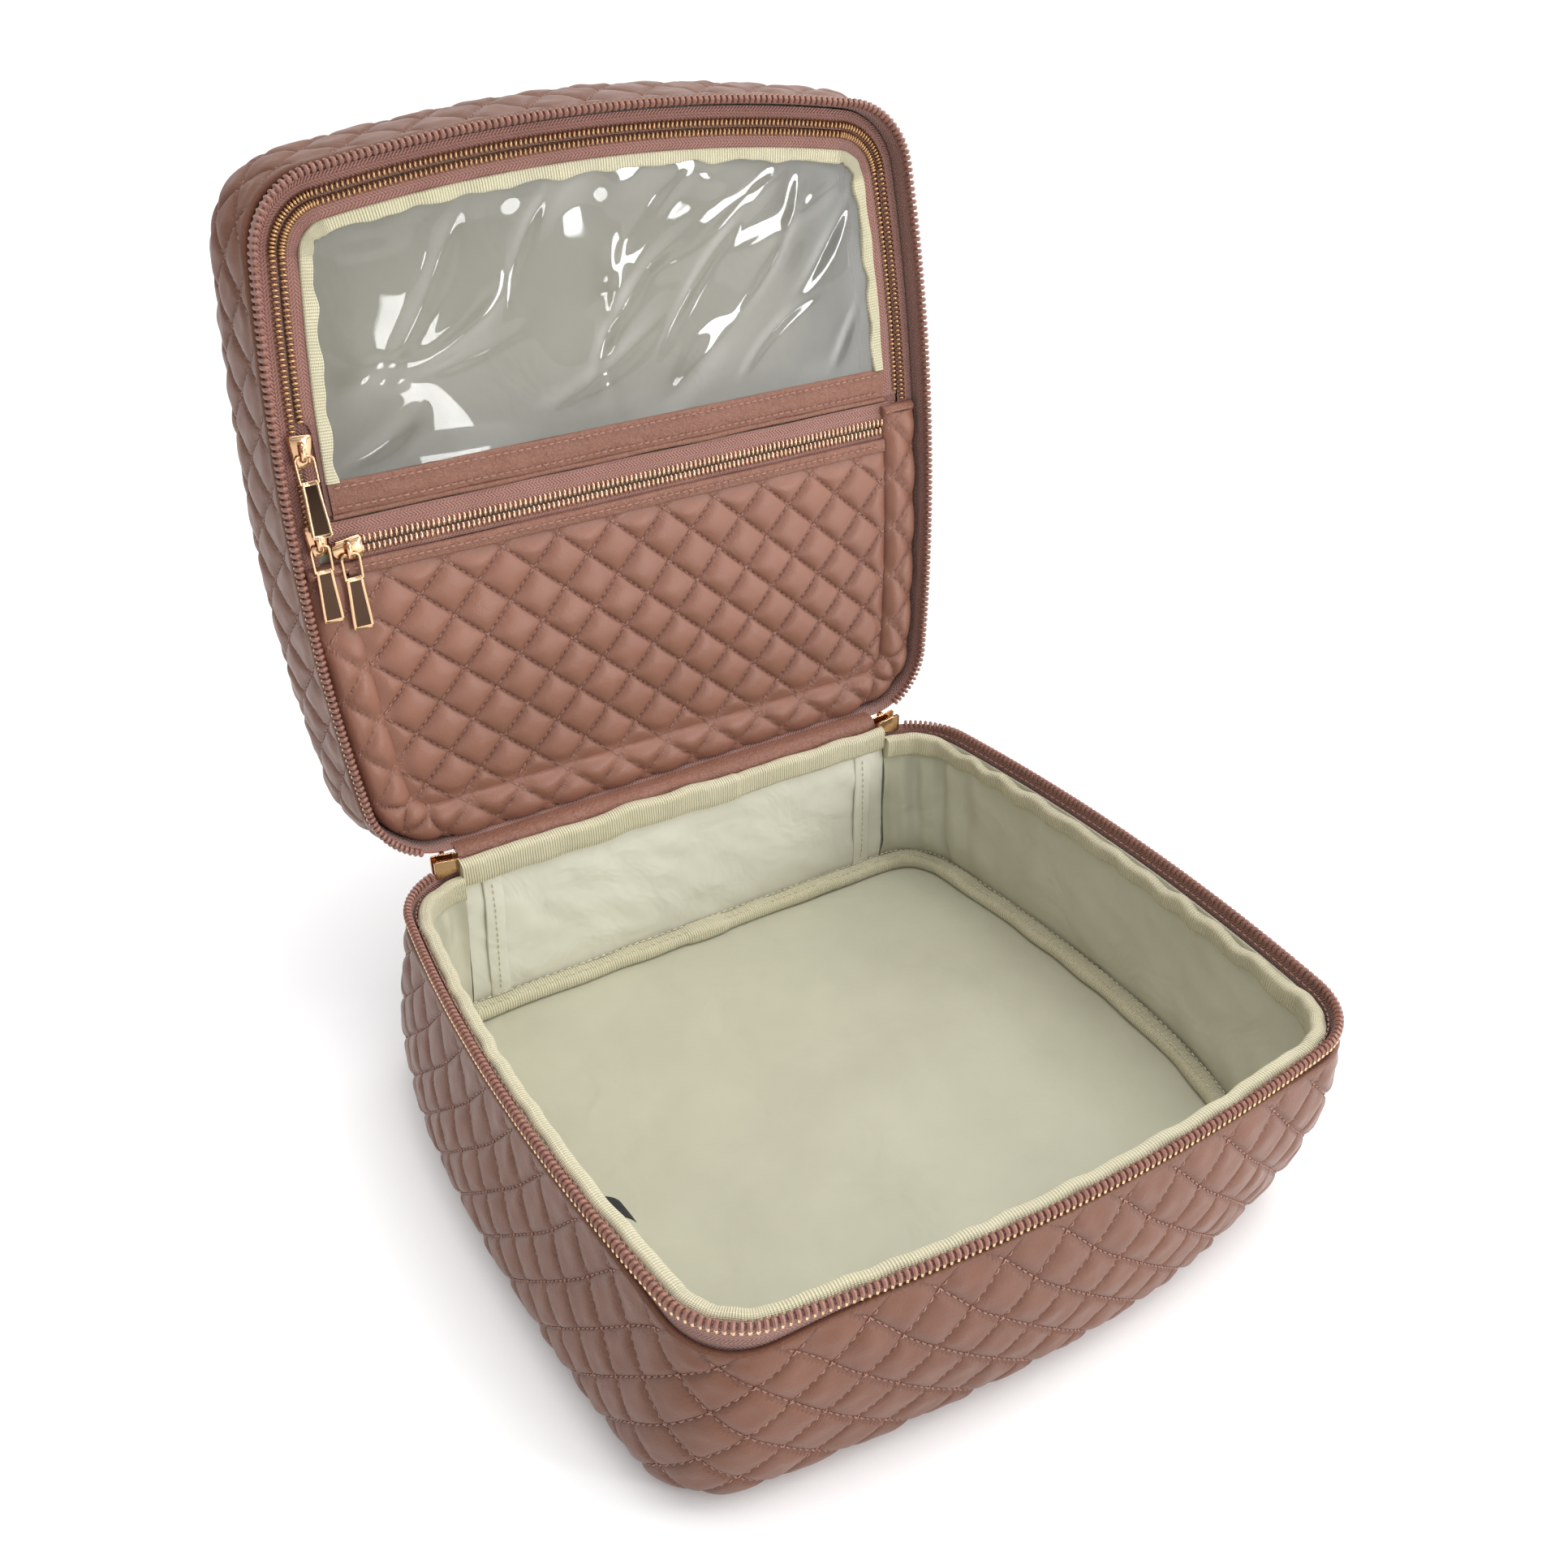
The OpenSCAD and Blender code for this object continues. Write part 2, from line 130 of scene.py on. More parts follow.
def s_at_rear_x(x, inset=0.0):
    right = (RIM_S <= HALF + 1e-6) & (RIM[:, 1] > 60)
    xs = RIM[right, 0] - inset * RIM[right, 2]
    return float(np.interp(-x, -xs, RIM_S[right]))


S_FRONT_CORNER = s_at_y(FRONT_C[1] + CORNER_R * math.sin((A_FRONT + A_SIDE) / 2))
S_REAR_CORNER = s_at_y(REAR_C[1] + CORNER_R * math.sin((A_REAR + math.pi / 2) / 2))


def inset_of(x, y):
    """How far inside the outline a point lies."""
    ax = np.abs(x)
    d = np.minimum(SIDE_R - np.hypot(ax - SIDE_CX, y), FRONT_R - np.hypot(ax, y - FRONT_CY))
    d = np.minimum(d, REAR_Y - y)
    for (cx, cy), a0, a1 in ((FRONT_C, A_FRONT, A_SIDE), (REAR_C, A_REAR, math.pi / 2)):
        a = np.arctan2(y - cy, ax - cx)
        d = np.where((a > a0) & (a < a1), CORNER_R - np.hypot(ax - cx, y - cy), d)
    return d


def smooth(x, lo=0.0, hi=1.0):
    t = np.clip((x - lo) / (hi - lo), 0, 1)
    return t * t * (3 - 2 * t)


def open_lid(p):
    """Closed lid to its open rest position, in millimetres."""
    y, z = p[..., 1] - AXIS_Y, p[..., 2] - RIM_Z
    c, s = math.cos(OPEN), math.sin(OPEN)
    return np.stack([p[..., 0], AXIS_Y + y * c + z * s, RIM_Z - y * s + z * c], -1)


def settled(x, y, z):
    """The soft base leans out on the left and tucks in at the front and at its front right corner."""
    low = smooth(RIM_Z - z, 8, 80)
    corner = np.exp(-(((x - 128) / 62) ** 2) - ((y + 132) / 62) ** 2)
    left = smooth(-x, 20, 125) * (1 - 0.5 * smooth(y, 60, 120))
    dx = low * (-10 * corner - 7 * left)
    dy = low * (6 * corner + 6 * smooth(-y, 50, 132))
    return x + dx, y + dy


def on_base(x, y, depth):
    """depth is measured down from the rim."""
    x, y, z = np.broadcast_arrays(x, y, RIM_Z - depth)
    x, y = settled(x, y, z)
    return np.stack([x, y, z], -1)


def on_lid(x, y, depth):
    """depth is measured behind the lid's rim."""
    return open_lid(np.stack(np.broadcast_arrays(x, y, RIM_Z + depth), -1))


# ---------- meshes ----------
def build(name, verts, polys, uvs, mats, mat_index=None, puff=None):
    """polys and uvs: lists of arrays, one row per face, (n, k) and (n, k, 2)."""
    me = bpy.data.meshes.new(name)
    me.vertices.add(len(verts))
    me.vertices.foreach_set("co", (np.asarray(verts) * MM).astype(np.float32).ravel())
    sizes = np.concatenate([np.full(len(p), p.shape[1]) for p in polys])
    loops = np.concatenate([p.ravel() for p in polys])
    me.loops.add(len(loops))
    me.loops.foreach_set("vertex_index", loops.astype(np.int32))
    me.polygons.add(len(sizes))
    me.polygons.foreach_set("loop_start", np.r_[0, np.cumsum(sizes)[:-1]].astype(np.int32))
    me.polygons.foreach_set("use_smooth", np.ones(len(sizes), bool))
    if mat_index is not None:
        me.polygons.foreach_set("material_index", mat_index.astype(np.int32))
    uv = me.uv_layers.new(name="pattern")
    flat = np.concatenate([u.reshape(-1, 2) for u in uvs]).astype(np.float32)
    uv.uv.foreach_set("vector", flat.ravel())
    if puff is not None:
        a = me.attributes.new("puff", "FLOAT", "POINT")
        a.data.foreach_set("value", np.asarray(puff, np.float32).ravel())
    for m in mats:
        me.materials.append(m)
    me.update(calc_edges=True)
    me.validate()
    bm = bmesh.new()
    bm.from_mesh(me)
    bmesh.ops.recalc_face_normals(bm, faces=bm.faces)
    bm.to_mesh(me)
    bm.free()
    me.set_sharp_from_angle(angle=math.radians(52))
    o = bpy.data.objects.new(name, me)
    bpy.context.scene.collection.objects.link(o)
    return o


def grid_faces(nu, nv, wrap_u, wrap_v, lattice=None):
    """Triangles of a grid, split along the quilting lines that run through its corners."""
    iu, iv = nu if wrap_u else nu - 1, nv if wrap_v else nv - 1
    i, j = np.meshgrid(np.arange(iu), np.arange(iv), indexing="ij")
    i, j = i.ravel(), j.ravel()
    q = [(i, j), (i + 1, j), (i + 1, j + 1), (i, j + 1)]
    idx = np.stack([(a % nu) * nv + b % nv for a, b in q], 1)
    raw = np.stack([a * (nv + wrap_v) + b for a, b in q], 1)
    if lattice is None:
        return idx, raw
    anti = (i + j + 1) % lattice == 0
    out = []
    for arr in (idx, raw):
        main = np.concatenate([arr[~anti][:, [0, 1, 2]], arr[~anti][:, [0, 2, 3]]])
        other = np.concatenate([arr[anti][:, [0, 1, 3]], arr[anti][:, [1, 2, 3]]])
        out.append(np.concatenate([main, other]))
    return out[0], out[1]


def grid_piece(name, pts, u, v, mats, wrap_u=False, wrap_v=False, lattice=None, puff=None, caps=True):
    """A piece from a grid of points (nu, nv, 3); u and v are pattern coordinates in millimetres."""
    nu, nv = pts.shape[:2]
    faces, raw = grid_faces(nu, nv, wrap_u, wrap_v, lattice)
    uv = np.stack(np.meshgrid(u, v, indexing="ij"), -1).reshape(-1, 2)
    polys, uvs = [faces], [uv[raw]]
    if caps and wrap_v and not wrap_u:
        for end in (0, nu - 1):
            ring = end * nv + np.arange(nv)[None]
            polys.append(ring)
            uvs.append(uv[(end * (nv + 1) + np.arange(nv))[None]])
    return build(name, pts.reshape(-1, 3), polys, uvs, mats, puff=puff)


def path_length(loop):
    closed = np.vstack([loop, loop[:1]])
    return np.r_[0, np.cumsum(np.hypot(*np.diff(closed, axis=0).T))]


def rounded(i0, i1, d0, d1, r, n=3):
    """A closed section with rounded corners: insets i0 to i1, depths d0 to d1."""
    r = min(r, (i1 - i0) / 2 - 1e-3, (d1 - d0) / 2 - 1e-3)
    out = []
    for cx, cy, a0 in ((i1 - r, d0 + r, -90), (i1 - r, d1 - r, 0), (i0 + r, d1 - r, 90), (i0 + r, d0 + r, 180)):
        for k in range(n + 1):
            a = math.radians(a0 + 90 * k / n)
            out.append((cx + r * math.cos(a), cy + r * math.sin(a)))
    return np.array(out)


def ribbon(name, place, s0, s1, section, mats, step=2.0, shift=None, closed=False):
    """A strip along the rim. shift(s, section) gives (n, m) changes to inset and to depth."""
    n = max(8, int(round((s1 - s0) / step)))
    s = np.linspace(s0, s1, n + (0 if closed else 1), endpoint=not closed)
    inset = np.repeat(section[None, :, 0], len(s), 0)
    depth = np.repeat(section[None, :, 1], len(s), 0)
    if shift:
        di, dd = shift(s[:, None], section[None])
        inset, depth = inset + di, depth + dd
    x, y = rim(s[:, None] + 0 * inset, inset)
    pts = place(x, y, depth)
    u = np.r_[s, s1] if closed else s
    return grid_piece(name, pts, u, path_length(section), mats, wrap_u=closed, wrap_v=True)


def clipped(x0, x1, y0, y1, inside, steps=STEPS, cell=(CELL, CELL), origin=(0.0, 0.0)):
    """A regular grid cut to inside(x, y) >= 0, its edge points moved onto the edge."""
    dx, dy = cell[0] / steps, cell[1] / steps
    i0, i1 = math.floor((x0 - origin[0]) / dx), math.ceil((x1 - origin[0]) / dx)
    j0, j1 = math.floor((y0 - origin[1]) / dy), math.ceil((y1 - origin[1]) / dy)
    i, j = np.meshgrid(np.arange(i0, i1 + 1), np.arange(j0, j1 + 1), indexing="ij")
    x, y = origin[0] + i * dx, origin[1] + j * dy
    d = inside(x, y)
    mean = (d[:-1, :-1] + d[1:, :-1] + d[1:, 1:] + d[:-1, 1:]) / 4
    keep = (mean > 0).ravel()
    nu, nv = x.shape
    a, b = np.meshgrid(np.arange(nu - 1), np.arange(nv - 1), indexing="ij")
    a, b = a.ravel(), b.ravel()
    quad = np.stack([a * nv + b, (a + 1) * nv + b, (a + 1) * nv + b + 1, a * nv + b + 1], 1)
    anti = (a + i0 + b + j0 + 1) % steps == 0
    tri = np.where(anti[:, None, None], quad[:, [[0, 1, 3], [1, 2, 3]]], quad[:, [[0, 1, 2], [0, 2, 3]]])
    tri = tri[keep].reshape(-1, 3)
    used, tri = np.unique(tri, return_inverse=True)
    tri = tri.reshape(-1, 3)
    x, y = x.ravel()[used], y.ravel()[used]
    for _ in range(4):
        d = inside(x, y)
        e = 0.05
        gx = (inside(x + e, y) - inside(x - e, y)) / (2 * e)
        gy = (inside(x, y + e) - inside(x, y - e)) / (2 * e)
        g = np.maximum(gx * gx + gy * gy, 0.2)
        move = np.where(d < 0, -d / g, 0)
        x, y = x + move * gx, y + move * gy
    return x, y, tri


def border_edges(tri):
    e = np.concatenate([tri[:, [0, 1]], tri[:, [1, 2]], tri[:, [2, 0]]])
    key = np.sort(e, 1)
    _, first, count = np.unique(key, axis=0, return_index=True, return_counts=True)
    return e[first[count == 1]]


def slab_piece(name, place, x, y, tri, front, back, mats, puff=None, uv=None):
    """A closed sheet or pad between two depths over the same flat points."""
    n = len(x)
    verts = np.concatenate([place(x, y, front), place(x, y, back)])
    edge = border_edges(tri)
    wall = np.stack([edge[:, 0], edge[:, 1], edge[:, 1] + n, edge[:, 0] + n], 1)
    polys = [tri, tri[:, ::-1] + n, wall]
    flat = np.c_[x, y] if uv is None else uv
    flat = np.vstack([flat, flat])
    full = None if puff is None else np.r_[puff, puff * 0 + 0.5]
    return build(name, verts, polys, [flat[p] for p in polys], mats, puff=full)


def tubes(name, paths, ref, radii, sides, mats, flat=1.0, mat_of=None):
    """Many short tubes: paths (n, m, 3), ref (n, 3) the direction across each path's plane."""
    n, m = paths.shape[:2]
    d = np.gradient(paths, axis=1)
    d /= np.linalg.norm(d, axis=2, keepdims=True)
    r = np.repeat(ref[:, None], m, 1)
    nrm = np.cross(r, d)
    nrm /= np.linalg.norm(nrm, axis=2, keepdims=True)
    a = np.arange(sides) * 2 * math.pi / sides + math.pi / sides
    ring = np.cos(a)[:, None] * r[:, :, None] + flat * np.sin(a)[:, None] * nrm[:, :, None]
    pts = paths[:, :, None] + np.asarray(radii)[None, :, None, None] * ring
    i, j = np.meshgrid(np.arange(m - 1), np.arange(sides), indexing="ij")
    i, j = i.ravel(), j.ravel()
    near, far, turn = i * sides, (i + 1) * sides, (j + 1) % sides
    quad = np.stack([near + j, far + j, far + turn, near + turn], 1)
    base = (np.arange(n) * m * sides)[:, None, None]
    quads = (quad[None] + base).reshape(-1, 4)
    ends = np.stack([np.arange(sides)[::-1], (m - 1) * sides + np.arange(sides)])
    caps = (ends[None] + base).reshape(-1, sides)
    index = None
    if mat_of is not None:
        index = np.r_[np.tile(np.asarray(mat_of)[i], n), np.zeros(len(caps), int)]
    uvs = [np.zeros((len(quads), 4, 2)), np.zeros((len(caps), sides, 2))]
    return build(name, pts.reshape(-1, 3), [quads, caps], uvs, mats, mat_index=index)


def stitches(name, surf, start, end, mats, side=1.0, radius=0.36, lift=0.26):
    """Threads laid on surf(u, v, relief) from start to end, both (n, 2)."""
    mid = (start + end) / 2
    a, m, b = (surf(p[:, 0], p[:, 1], True) for p in (start, mid, end))
    e = 0.4
    su = surf(mid[:, 0] + e, mid[:, 1], False) - surf(mid[:, 0] - e, mid[:, 1], False)
    sv = surf(mid[:, 0], mid[:, 1] + e, False) - surf(mid[:, 0], mid[:, 1] - e, False)
    up = np.cross(su, sv) * side
    up /= np.linalg.norm(up, axis=1, keepdims=True)
    along = b - a
    ref = np.cross(up, along)
    ref /= np.linalg.norm(ref, axis=1, keepdims=True)
    paths = np.stack([a + up * (lift - 0.12), m + up * (lift + 0.2), b + up * (lift - 0.12)], 1)
    return tubes(name, paths, ref, [0.6 * radius, radius, 0.6 * radius], 4, mats)


def lattice_lines(a, b, v0, v1, ks, pitch=2.9, fill=0.64):
    """Start and end of every stitch on the quilting lines u/a + v/b = k and u/a - v/b = k."""
    dv = pitch * b / math.hypot(a, b)
    v = np.arange(math.ceil(v0 / dv), math.floor(v1 / dv)) * dv
    out = []
    for sign in (-1, 1):
        k, vv = np.meshgrid(ks, v, indexing="ij")
        k, vv = k.ravel(), vv.ravel()
        first = np.c_[a * (k + sign * vv / b), vv]
        ve = vv + fill * dv
        out.append(np.stack([first, np.c_[a * (k + sign * ve / b), ve]], 1))
    both = np.concatenate(out)
    return both[:, 0], both[:, 1]


def quilt(u, v, a, b, flat=2.6, edge=0.5):
    """Height of a diamond's pillow: 0 on the stitch lines, 1 in the middle, with a wider top where flat is larger."""
    p, q = u / a + v / b, u / a - v / b
    dp, dq = (1 - np.abs(2 * np.abs(x - np.round(x))) for x in (p, q))
    return ((1 - np.abs(dp) ** flat) * (1 - np.abs(dq) ** flat)) ** edge


def noise2(u, v, scale, seed):
    """Smooth random waves with no grid: a sum of a few turned sines."""
    r = np.random.default_rng(seed)
    out = 0
    for k in range(7):
        ang, ph, f = r.uniform(0, math.pi), r.uniform(0, 6.28), r.uniform(0.6, 1.7) / scale
        out = out + np.sin(2 * math.pi * f * (u * math.cos(ang) + v * math.sin(ang)) + ph)
    return out / 3.0


def finish_piece(o, body, slot, *nodes):
    """The piece stands for the CAD nodes, which it hides, and moves with the body. The slot is not used."""
    if nodes:
        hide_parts(*nodes)
    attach(o, body)


def sew(name, surf, start, end, body, slot, thread=None, **look):
    """Stitches that ride with the piece that they hold."""
    finish_piece(stitches(name, surf, start, end, [thread or pink_thread], **look), body, slot)


# ---------- materials ----------
class Nodes:
    """Short writing for the shader nodes of a new material, or of a tree that is given."""

    def __init__(self, name, tree=None):
        if tree is None:
            self.mat = bpy.data.materials.new(name)
            self.mat.use_nodes = True
            tree = self.mat.node_tree
            self.bsdf = tree.nodes["Principled BSDF"]
        self.tree = tree

    def add(self, kind, inputs=None, **props):
        n = self.tree.nodes.new("ShaderNode" + kind)
        for k, v in props.items():
            setattr(n, k, v)
        for k, v in (inputs or {}).items():
            self.put(n.inputs[k], v)
        return n

    def put(self, socket, value):
        if isinstance(value, bpy.types.NodeSocket):
            self.tree.links.new(value, socket)
        else:
            socket.default_value = value

    def set(self, **values):
        for k, v in values.items():
            self.put(self.bsdf.inputs[k.replace("_", " ")], v)

    def math(self, op, a, b=0.0, c=0.0):
        n = self.add("Math", operation=op)
        for k, v in enumerate((a, b, c)):
            self.put(n.inputs[k], v)
        return n.outputs[0]

    def ramp(self, fac, lo, hi, a, b):
        return self.add("MapRange", {0: fac, 1: lo, 2: hi, 3: a, 4: b}).outputs[0]

    def choose(self, fac, a, b):
        """A number that turns from a to b as fac goes from 0 to 1."""
        return self.add("Mix", {0: fac, 2: a, 3: b}, data_type="FLOAT").outputs[0]

    def mix(self, fac, a, b):
        return self.add("Mix", {0: fac, 6: a, 7: b}, data_type="RGBA").outputs[2]

    def mottled(self, fac, colour, lo, hi):
        """The colour, darker or lighter where fac is low or high."""
        return self.mix(self.ramp(fac, 0.3, 0.7, 0, 1), tinted(colour, lo), tinted(colour, hi))

    def noise(self, scale, detail=3.0, rough=0.55, distortion=0.0):
        values = {"Scale": scale, "Detail": detail, "Roughness": rough, "Distortion": distortion}
        return self.add("TexNoise", {**values, "Vector": self.coords()}).outputs["Fac"]

    def coords(self):
        if not hasattr(self, "_co"):
            self._co = self.add("TexCoord").outputs["Object"]
        return self._co

    def uv(self):
        if not hasattr(self, "_uv"):
            n = self.add("UVMap", uv_map="pattern")
            s = self.add("SeparateXYZ", {0: n.outputs[0]})
            self._uv = (s.outputs[0], s.outputs[1])
        return self._uv

    def bump(self, height, strength, distance, normal=None):
        n = self.add("Bump", {"Height": height, "Strength": strength, "Distance": distance})
        if normal is not None:
            self.put(n.inputs["Normal"], normal)
        return n.outputs[0]


PINK = (0.232, 0.104, 0.070)
# The quilted leather's colour darkened as painted shade, for the walls and the top and bottom panels.
SHADED_WALL_PINK = (0.150, 0.060, 0.034)
WORN_PINK = (0.36, 0.20, 0.155)
TAPE_PINK = (0.36, 0.172, 0.14)
CREAM = (0.76, 0.70, 0.49)
IVORY = (0.43, 0.42, 0.32)
FILM_IVORY = (0.50, 0.49, 0.38)
PALE_IVORY = (0.64, 0.63, 0.53)
SHADED_IVORY = (0.200, 0.178, 0.112)
WHITE = (1.0, 1.0, 1.0)


def tinted(colour, k=1.0):
    """The colour at k times its brightness, as a socket takes it."""
    return (colour[0] * k, colour[1] * k, colour[2] * k, 1.0)


def leather_material(name, quilted=True, base=PINK):
    g = Nodes(name)
    colour = g.mottled(g.noise(14, 3), base, 0.90, 1.07)
    cracks = g.add("TexVoronoi", {"Vector": g.coords(), "Scale": 1300.0}, feature="DISTANCE_TO_EDGE")
    pores = g.noise(2600, 2)
    crease = g.noise(260, 4, 0.6, distortion=0.6)
    if quilted:
        puff = g.add("Attribute", attribute_name="puff").outputs["Fac"]
        # Painted shade darkens the leather where the pillows dip to the stitch lines, and a painted highlight
        # lightens the pillows' crowns.
        seam = g.ramp(puff, 0.0, 0.30, 1, 0)
        colour = g.mix(g.math("MULTIPLY", seam, 0.20), colour, tinted(base, 0.62))
        crown = g.ramp(puff, 0.8, 1.0, 0, 0.35)
        colour = g.mix(crown, colour, tinted(base, 1.16))
        crease = g.math("MULTIPLY", crease, g.ramp(puff, 0.1, 0.8, 1.0, 0.25))
    worn = g.ramp(g.noise(55, 5, 0.65), 0.62, 0.78, 0, 0.22)
    colour = g.mix(worn, colour, tinted(WORN_PINK))
    rough = g.ramp(g.noise(90, 3), 0.3, 0.7, 0.31, 0.44)
    n = g.bump(g.ramp(cracks.outputs["Distance"], 0.0, 0.25, 0, 1), 0.22, 0.00012)
    n = g.bump(pores, 0.10, 0.0001, n)
    n = g.bump(crease, 0.7, 0.0009, n)
    pucker = g.noise(520, 3, 0.6, distortion=1.6)
    if quilted:
        pucker = g.math("MULTIPLY", pucker, g.ramp(puff, 0.0, 0.6, 1.0, 0.12))
    n = g.bump(pucker, 0.8, 0.0009, n)
    g.set(Base_Color=colour, Roughness=rough, Normal=n, Specular_IOR_Level=0.36, Sheen_Weight=0.02)
    return g.mat


def thread_material(name, colour):
    g = Nodes(name)
    ply = g.add("TexWave", {"Vector": g.coords(), "Scale": 500.0, "Distortion": 2.0, "Detail": 1.0})
    g.set(
        Base_Color=g.mottled(g.noise(400, 2), colour, 0.8, 1.1),
        Roughness=g.ramp(ply.outputs["Fac"], 0, 1, 0.55, 0.75),
        Normal=g.bump(ply.outputs["Fac"], 0.4, 0.0001),
    )
    return g.mat


def tape_material(name, colour):
    """Herringbone woven zip tape."""
    g = Nodes(name)
    u, v = g.uv()
    zig = g.math("PINGPONG", v, 2.0)
    twill = g.math("SINE", g.math("MULTIPLY", g.math("ADD", u, zig), 2 * math.pi / 1.35))
    yarn = g.math("SINE", g.math("MULTIPLY", v, 2 * math.pi / 1.0))
    weave = g.math("ADD", g.math("MULTIPLY", twill, 0.7), g.math("MULTIPLY", yarn, 0.3))
    fac = g.ramp(weave, -1, 1, 0, 1)
    colour = g.mix(fac, tinted(colour, 0.60), tinted(colour, 1.22))
    colour = g.mix(g.ramp(g.noise(40, 3), 0.3, 0.7, 0, 0.3), colour, tinted(PINK, 0.9))
    n = g.bump(weave, 0.8, 0.0004)
    n = g.bump(g.noise(1800, 2), 0.2, 0.0001, n)
    g.set(Base_Color=colour, Roughness=0.72, Normal=n, Sheen_Weight=0.25, Sheen_Roughness=0.4)
    return g.mat


def grosgrain_material(name, colour):
    """Ribbed cream ribbon: ribs run across its length."""
    g = Nodes(name)
    u, v = g.uv()
    wander = g.math("MULTIPLY", g.noise(60, 2), 0.8)
    rib = g.math("SINE", g.math("MULTIPLY", g.math("ADD", u, wander), 2 * math.pi / 1.05))
    weft = g.math("SINE", g.math("MULTIPLY", v, 2 * math.pi / 0.5))
    weave = g.math("ADD", g.math("MULTIPLY", rib, 0.75), g.math("MULTIPLY", weft, 0.25))
    fac = g.ramp(weave, -1, 1, 0, 1)
    yellowed = (colour[0], colour[1], colour[2] * 0.82)
    tone = g.mix(fac, tinted(colour, 0.76), tinted(colour, 1.08))
    tone = g.mix(g.ramp(g.noise(30, 3), 0.35, 0.7, 0, 0.35), tone, tinted(yellowed, 0.9))
    n = g.bump(weave, 0.8, 0.0005)
    n = g.bump(g.noise(1500, 2), 0.2, 0.0001, n)
    g.set(Base_Color=tone, Roughness=g.ramp(fac, 0, 1, 0.75, 0.6), Normal=n, Sheen_Weight=0.2)
    return g.mat


def lining_material(name, colour, gloss):
    """Ivory coated lining; gloss above 0 gives it a clear film with soft creases."""
    g = Nodes(name)
    cloud = g.noise(22, 4)
    stain = (colour[0], colour[1] * 0.97, colour[2] * 0.88)
    tone = g.mottled(cloud, colour, 0.93, 1.04)
    tone = g.mix(g.ramp(g.noise(110, 4, 0.6), 0.6, 0.8, 0, 0.12), tone, tinted(stain, 0.82))
    weave = g.add("TexBrick", {"Vector": g.coords(), "Scale": 900.0, "Mortar Size": 0.05}).outputs["Fac"]
    n = g.bump(weave, 0.05, 0.0001)
    n = g.bump(g.noise(34, 3, 0.5, distortion=0.8), 0.5 if gloss else 0.3, 0.004, n)
    rough = g.ramp(cloud, 0.2, 0.8, 0.36, 0.50)
    g.set(Base_Color=tone, Roughness=rough, Normal=n, Coat_Weight=gloss, Coat_Roughness=0.12)
    return g.mat


def vinyl_material(name):
    """Clear soft vinyl: mostly see-through, with sharp reflections and a faint haze."""
    g = Nodes(name)
    n = g.bump(g.noise(18, 1, 0.3, distortion=0.8), 0.10, 0.002)
    rough = g.ramp(g.noise(40, 3), 0.3, 0.7, 0.012, 0.035)
    g.set(Base_Color=tinted((0.80, 0.80, 0.77)), Roughness=rough, Normal=n)
    g.set(Specular_IOR_Level=1.0, Coat_Weight=1.0, Coat_Roughness=0.015)
    clear = g.add("BsdfTransparent", {"Color": tinted((0.955, 0.955, 0.94))})
    facing = g.add("LayerWeight", {"Blend": 0.35, "Normal": n}).outputs["Facing"]
    haze = g.ramp(g.noise(9, 4, 0.6, distortion=1.5), 0.45, 0.75, 0.0, 0.05)
    fac = g.math("ADD", g.ramp(facing, 0, 1, 0.075, 0.7), haze)
    mix = g.add("MixShader", {0: fac, 1: clear.outputs[0], 2: g.bsdf.outputs[0]})
    g.put(g.tree.nodes["Material Output"].inputs["Surface"], mix.outputs[0])
    return g.mat


def metal_material(name, colour, rough):
    g = Nodes(name)
    smudge = g.noise(220, 4, 0.6)
    drawn_out = g.add("Mapping", {"Vector": g.coords(), "Scale": (2600, 2600, 180)}).outputs[0]
    scratch = g.add("TexNoise", {"Vector": drawn_out, "Scale": 1.0, "Detail": 2.0}).outputs["Fac"]
    edge = g.add("Bevel", {"Radius": 0.00035}, samples=6).outputs[0]
    g.set(
        Base_Color=g.mottled(smudge, colour, 0.93, 1.05),
        Metallic=1.0,
        Roughness=g.ramp(smudge, 0.3, 0.7, rough * 0.8, rough * 1.4),
        Normal=g.bump(scratch, 0.05, 0.00005, edge),
    )
    return g.mat


def coil_material(name, colour, rough, metallic=0.0):
    g = Nodes(name)
    g.set(
        Base_Color=g.mottled(g.noise(300, 2), colour, 0.85, 1.12),
        Metallic=metallic,
        Roughness=g.ramp(g.noise(700, 2), 0.3, 0.7, rough, rough + 0.15),
        Normal=g.bump(g.noise(1500, 2), 0.25, 0.0001),
    )
    return g.mat


def plain_material(name, colour, rough, scale):
    """Boards, foam and the woven tab: fibres and tone from noise."""
    g = Nodes(name)
    fibre = g.noise(scale, 5, 0.65)
    g.set(
        Base_Color=g.mottled(fibre, colour, 0.8, 1.15),
        Roughness=g.ramp(fibre, 0.3, 0.7, rough - 0.1, rough + 0.05),
        Normal=g.bump(fibre, 0.4, 0.0003),
    )
    return g.mat


quilted_leather = leather_material("quilted_leather")
# The walls' and panels' leather: the quilted leather with painted shade in its colour.
shaded_wall_leather = leather_material("shaded_wall_leather", base=SHADED_WALL_PINK)
smooth_leather = leather_material("smooth_leather", quilted=False)
pink_thread = thread_material("pink_thread", (0.33, 0.165, 0.125))
cream_thread = thread_material("cream_thread", (0.62, 0.58, 0.42))
zip_tape = tape_material("zip_tape", TAPE_PINK)
cream_binding = grosgrain_material("cream_binding", CREAM)
lining = lining_material("lining", IVORY, 0.0)
shaded_lining = lining_material("shaded_lining", SHADED_IVORY, 0.0)
pale_film = lining_material("pale_film", PALE_IVORY, 0.6)
lining_film = lining_material("lining_film", FILM_IVORY, 0.9)
clear_vinyl = vinyl_material("clear_vinyl")
gold = metal_material("gold", (0.66, 0.42, 0.25), 0.12)
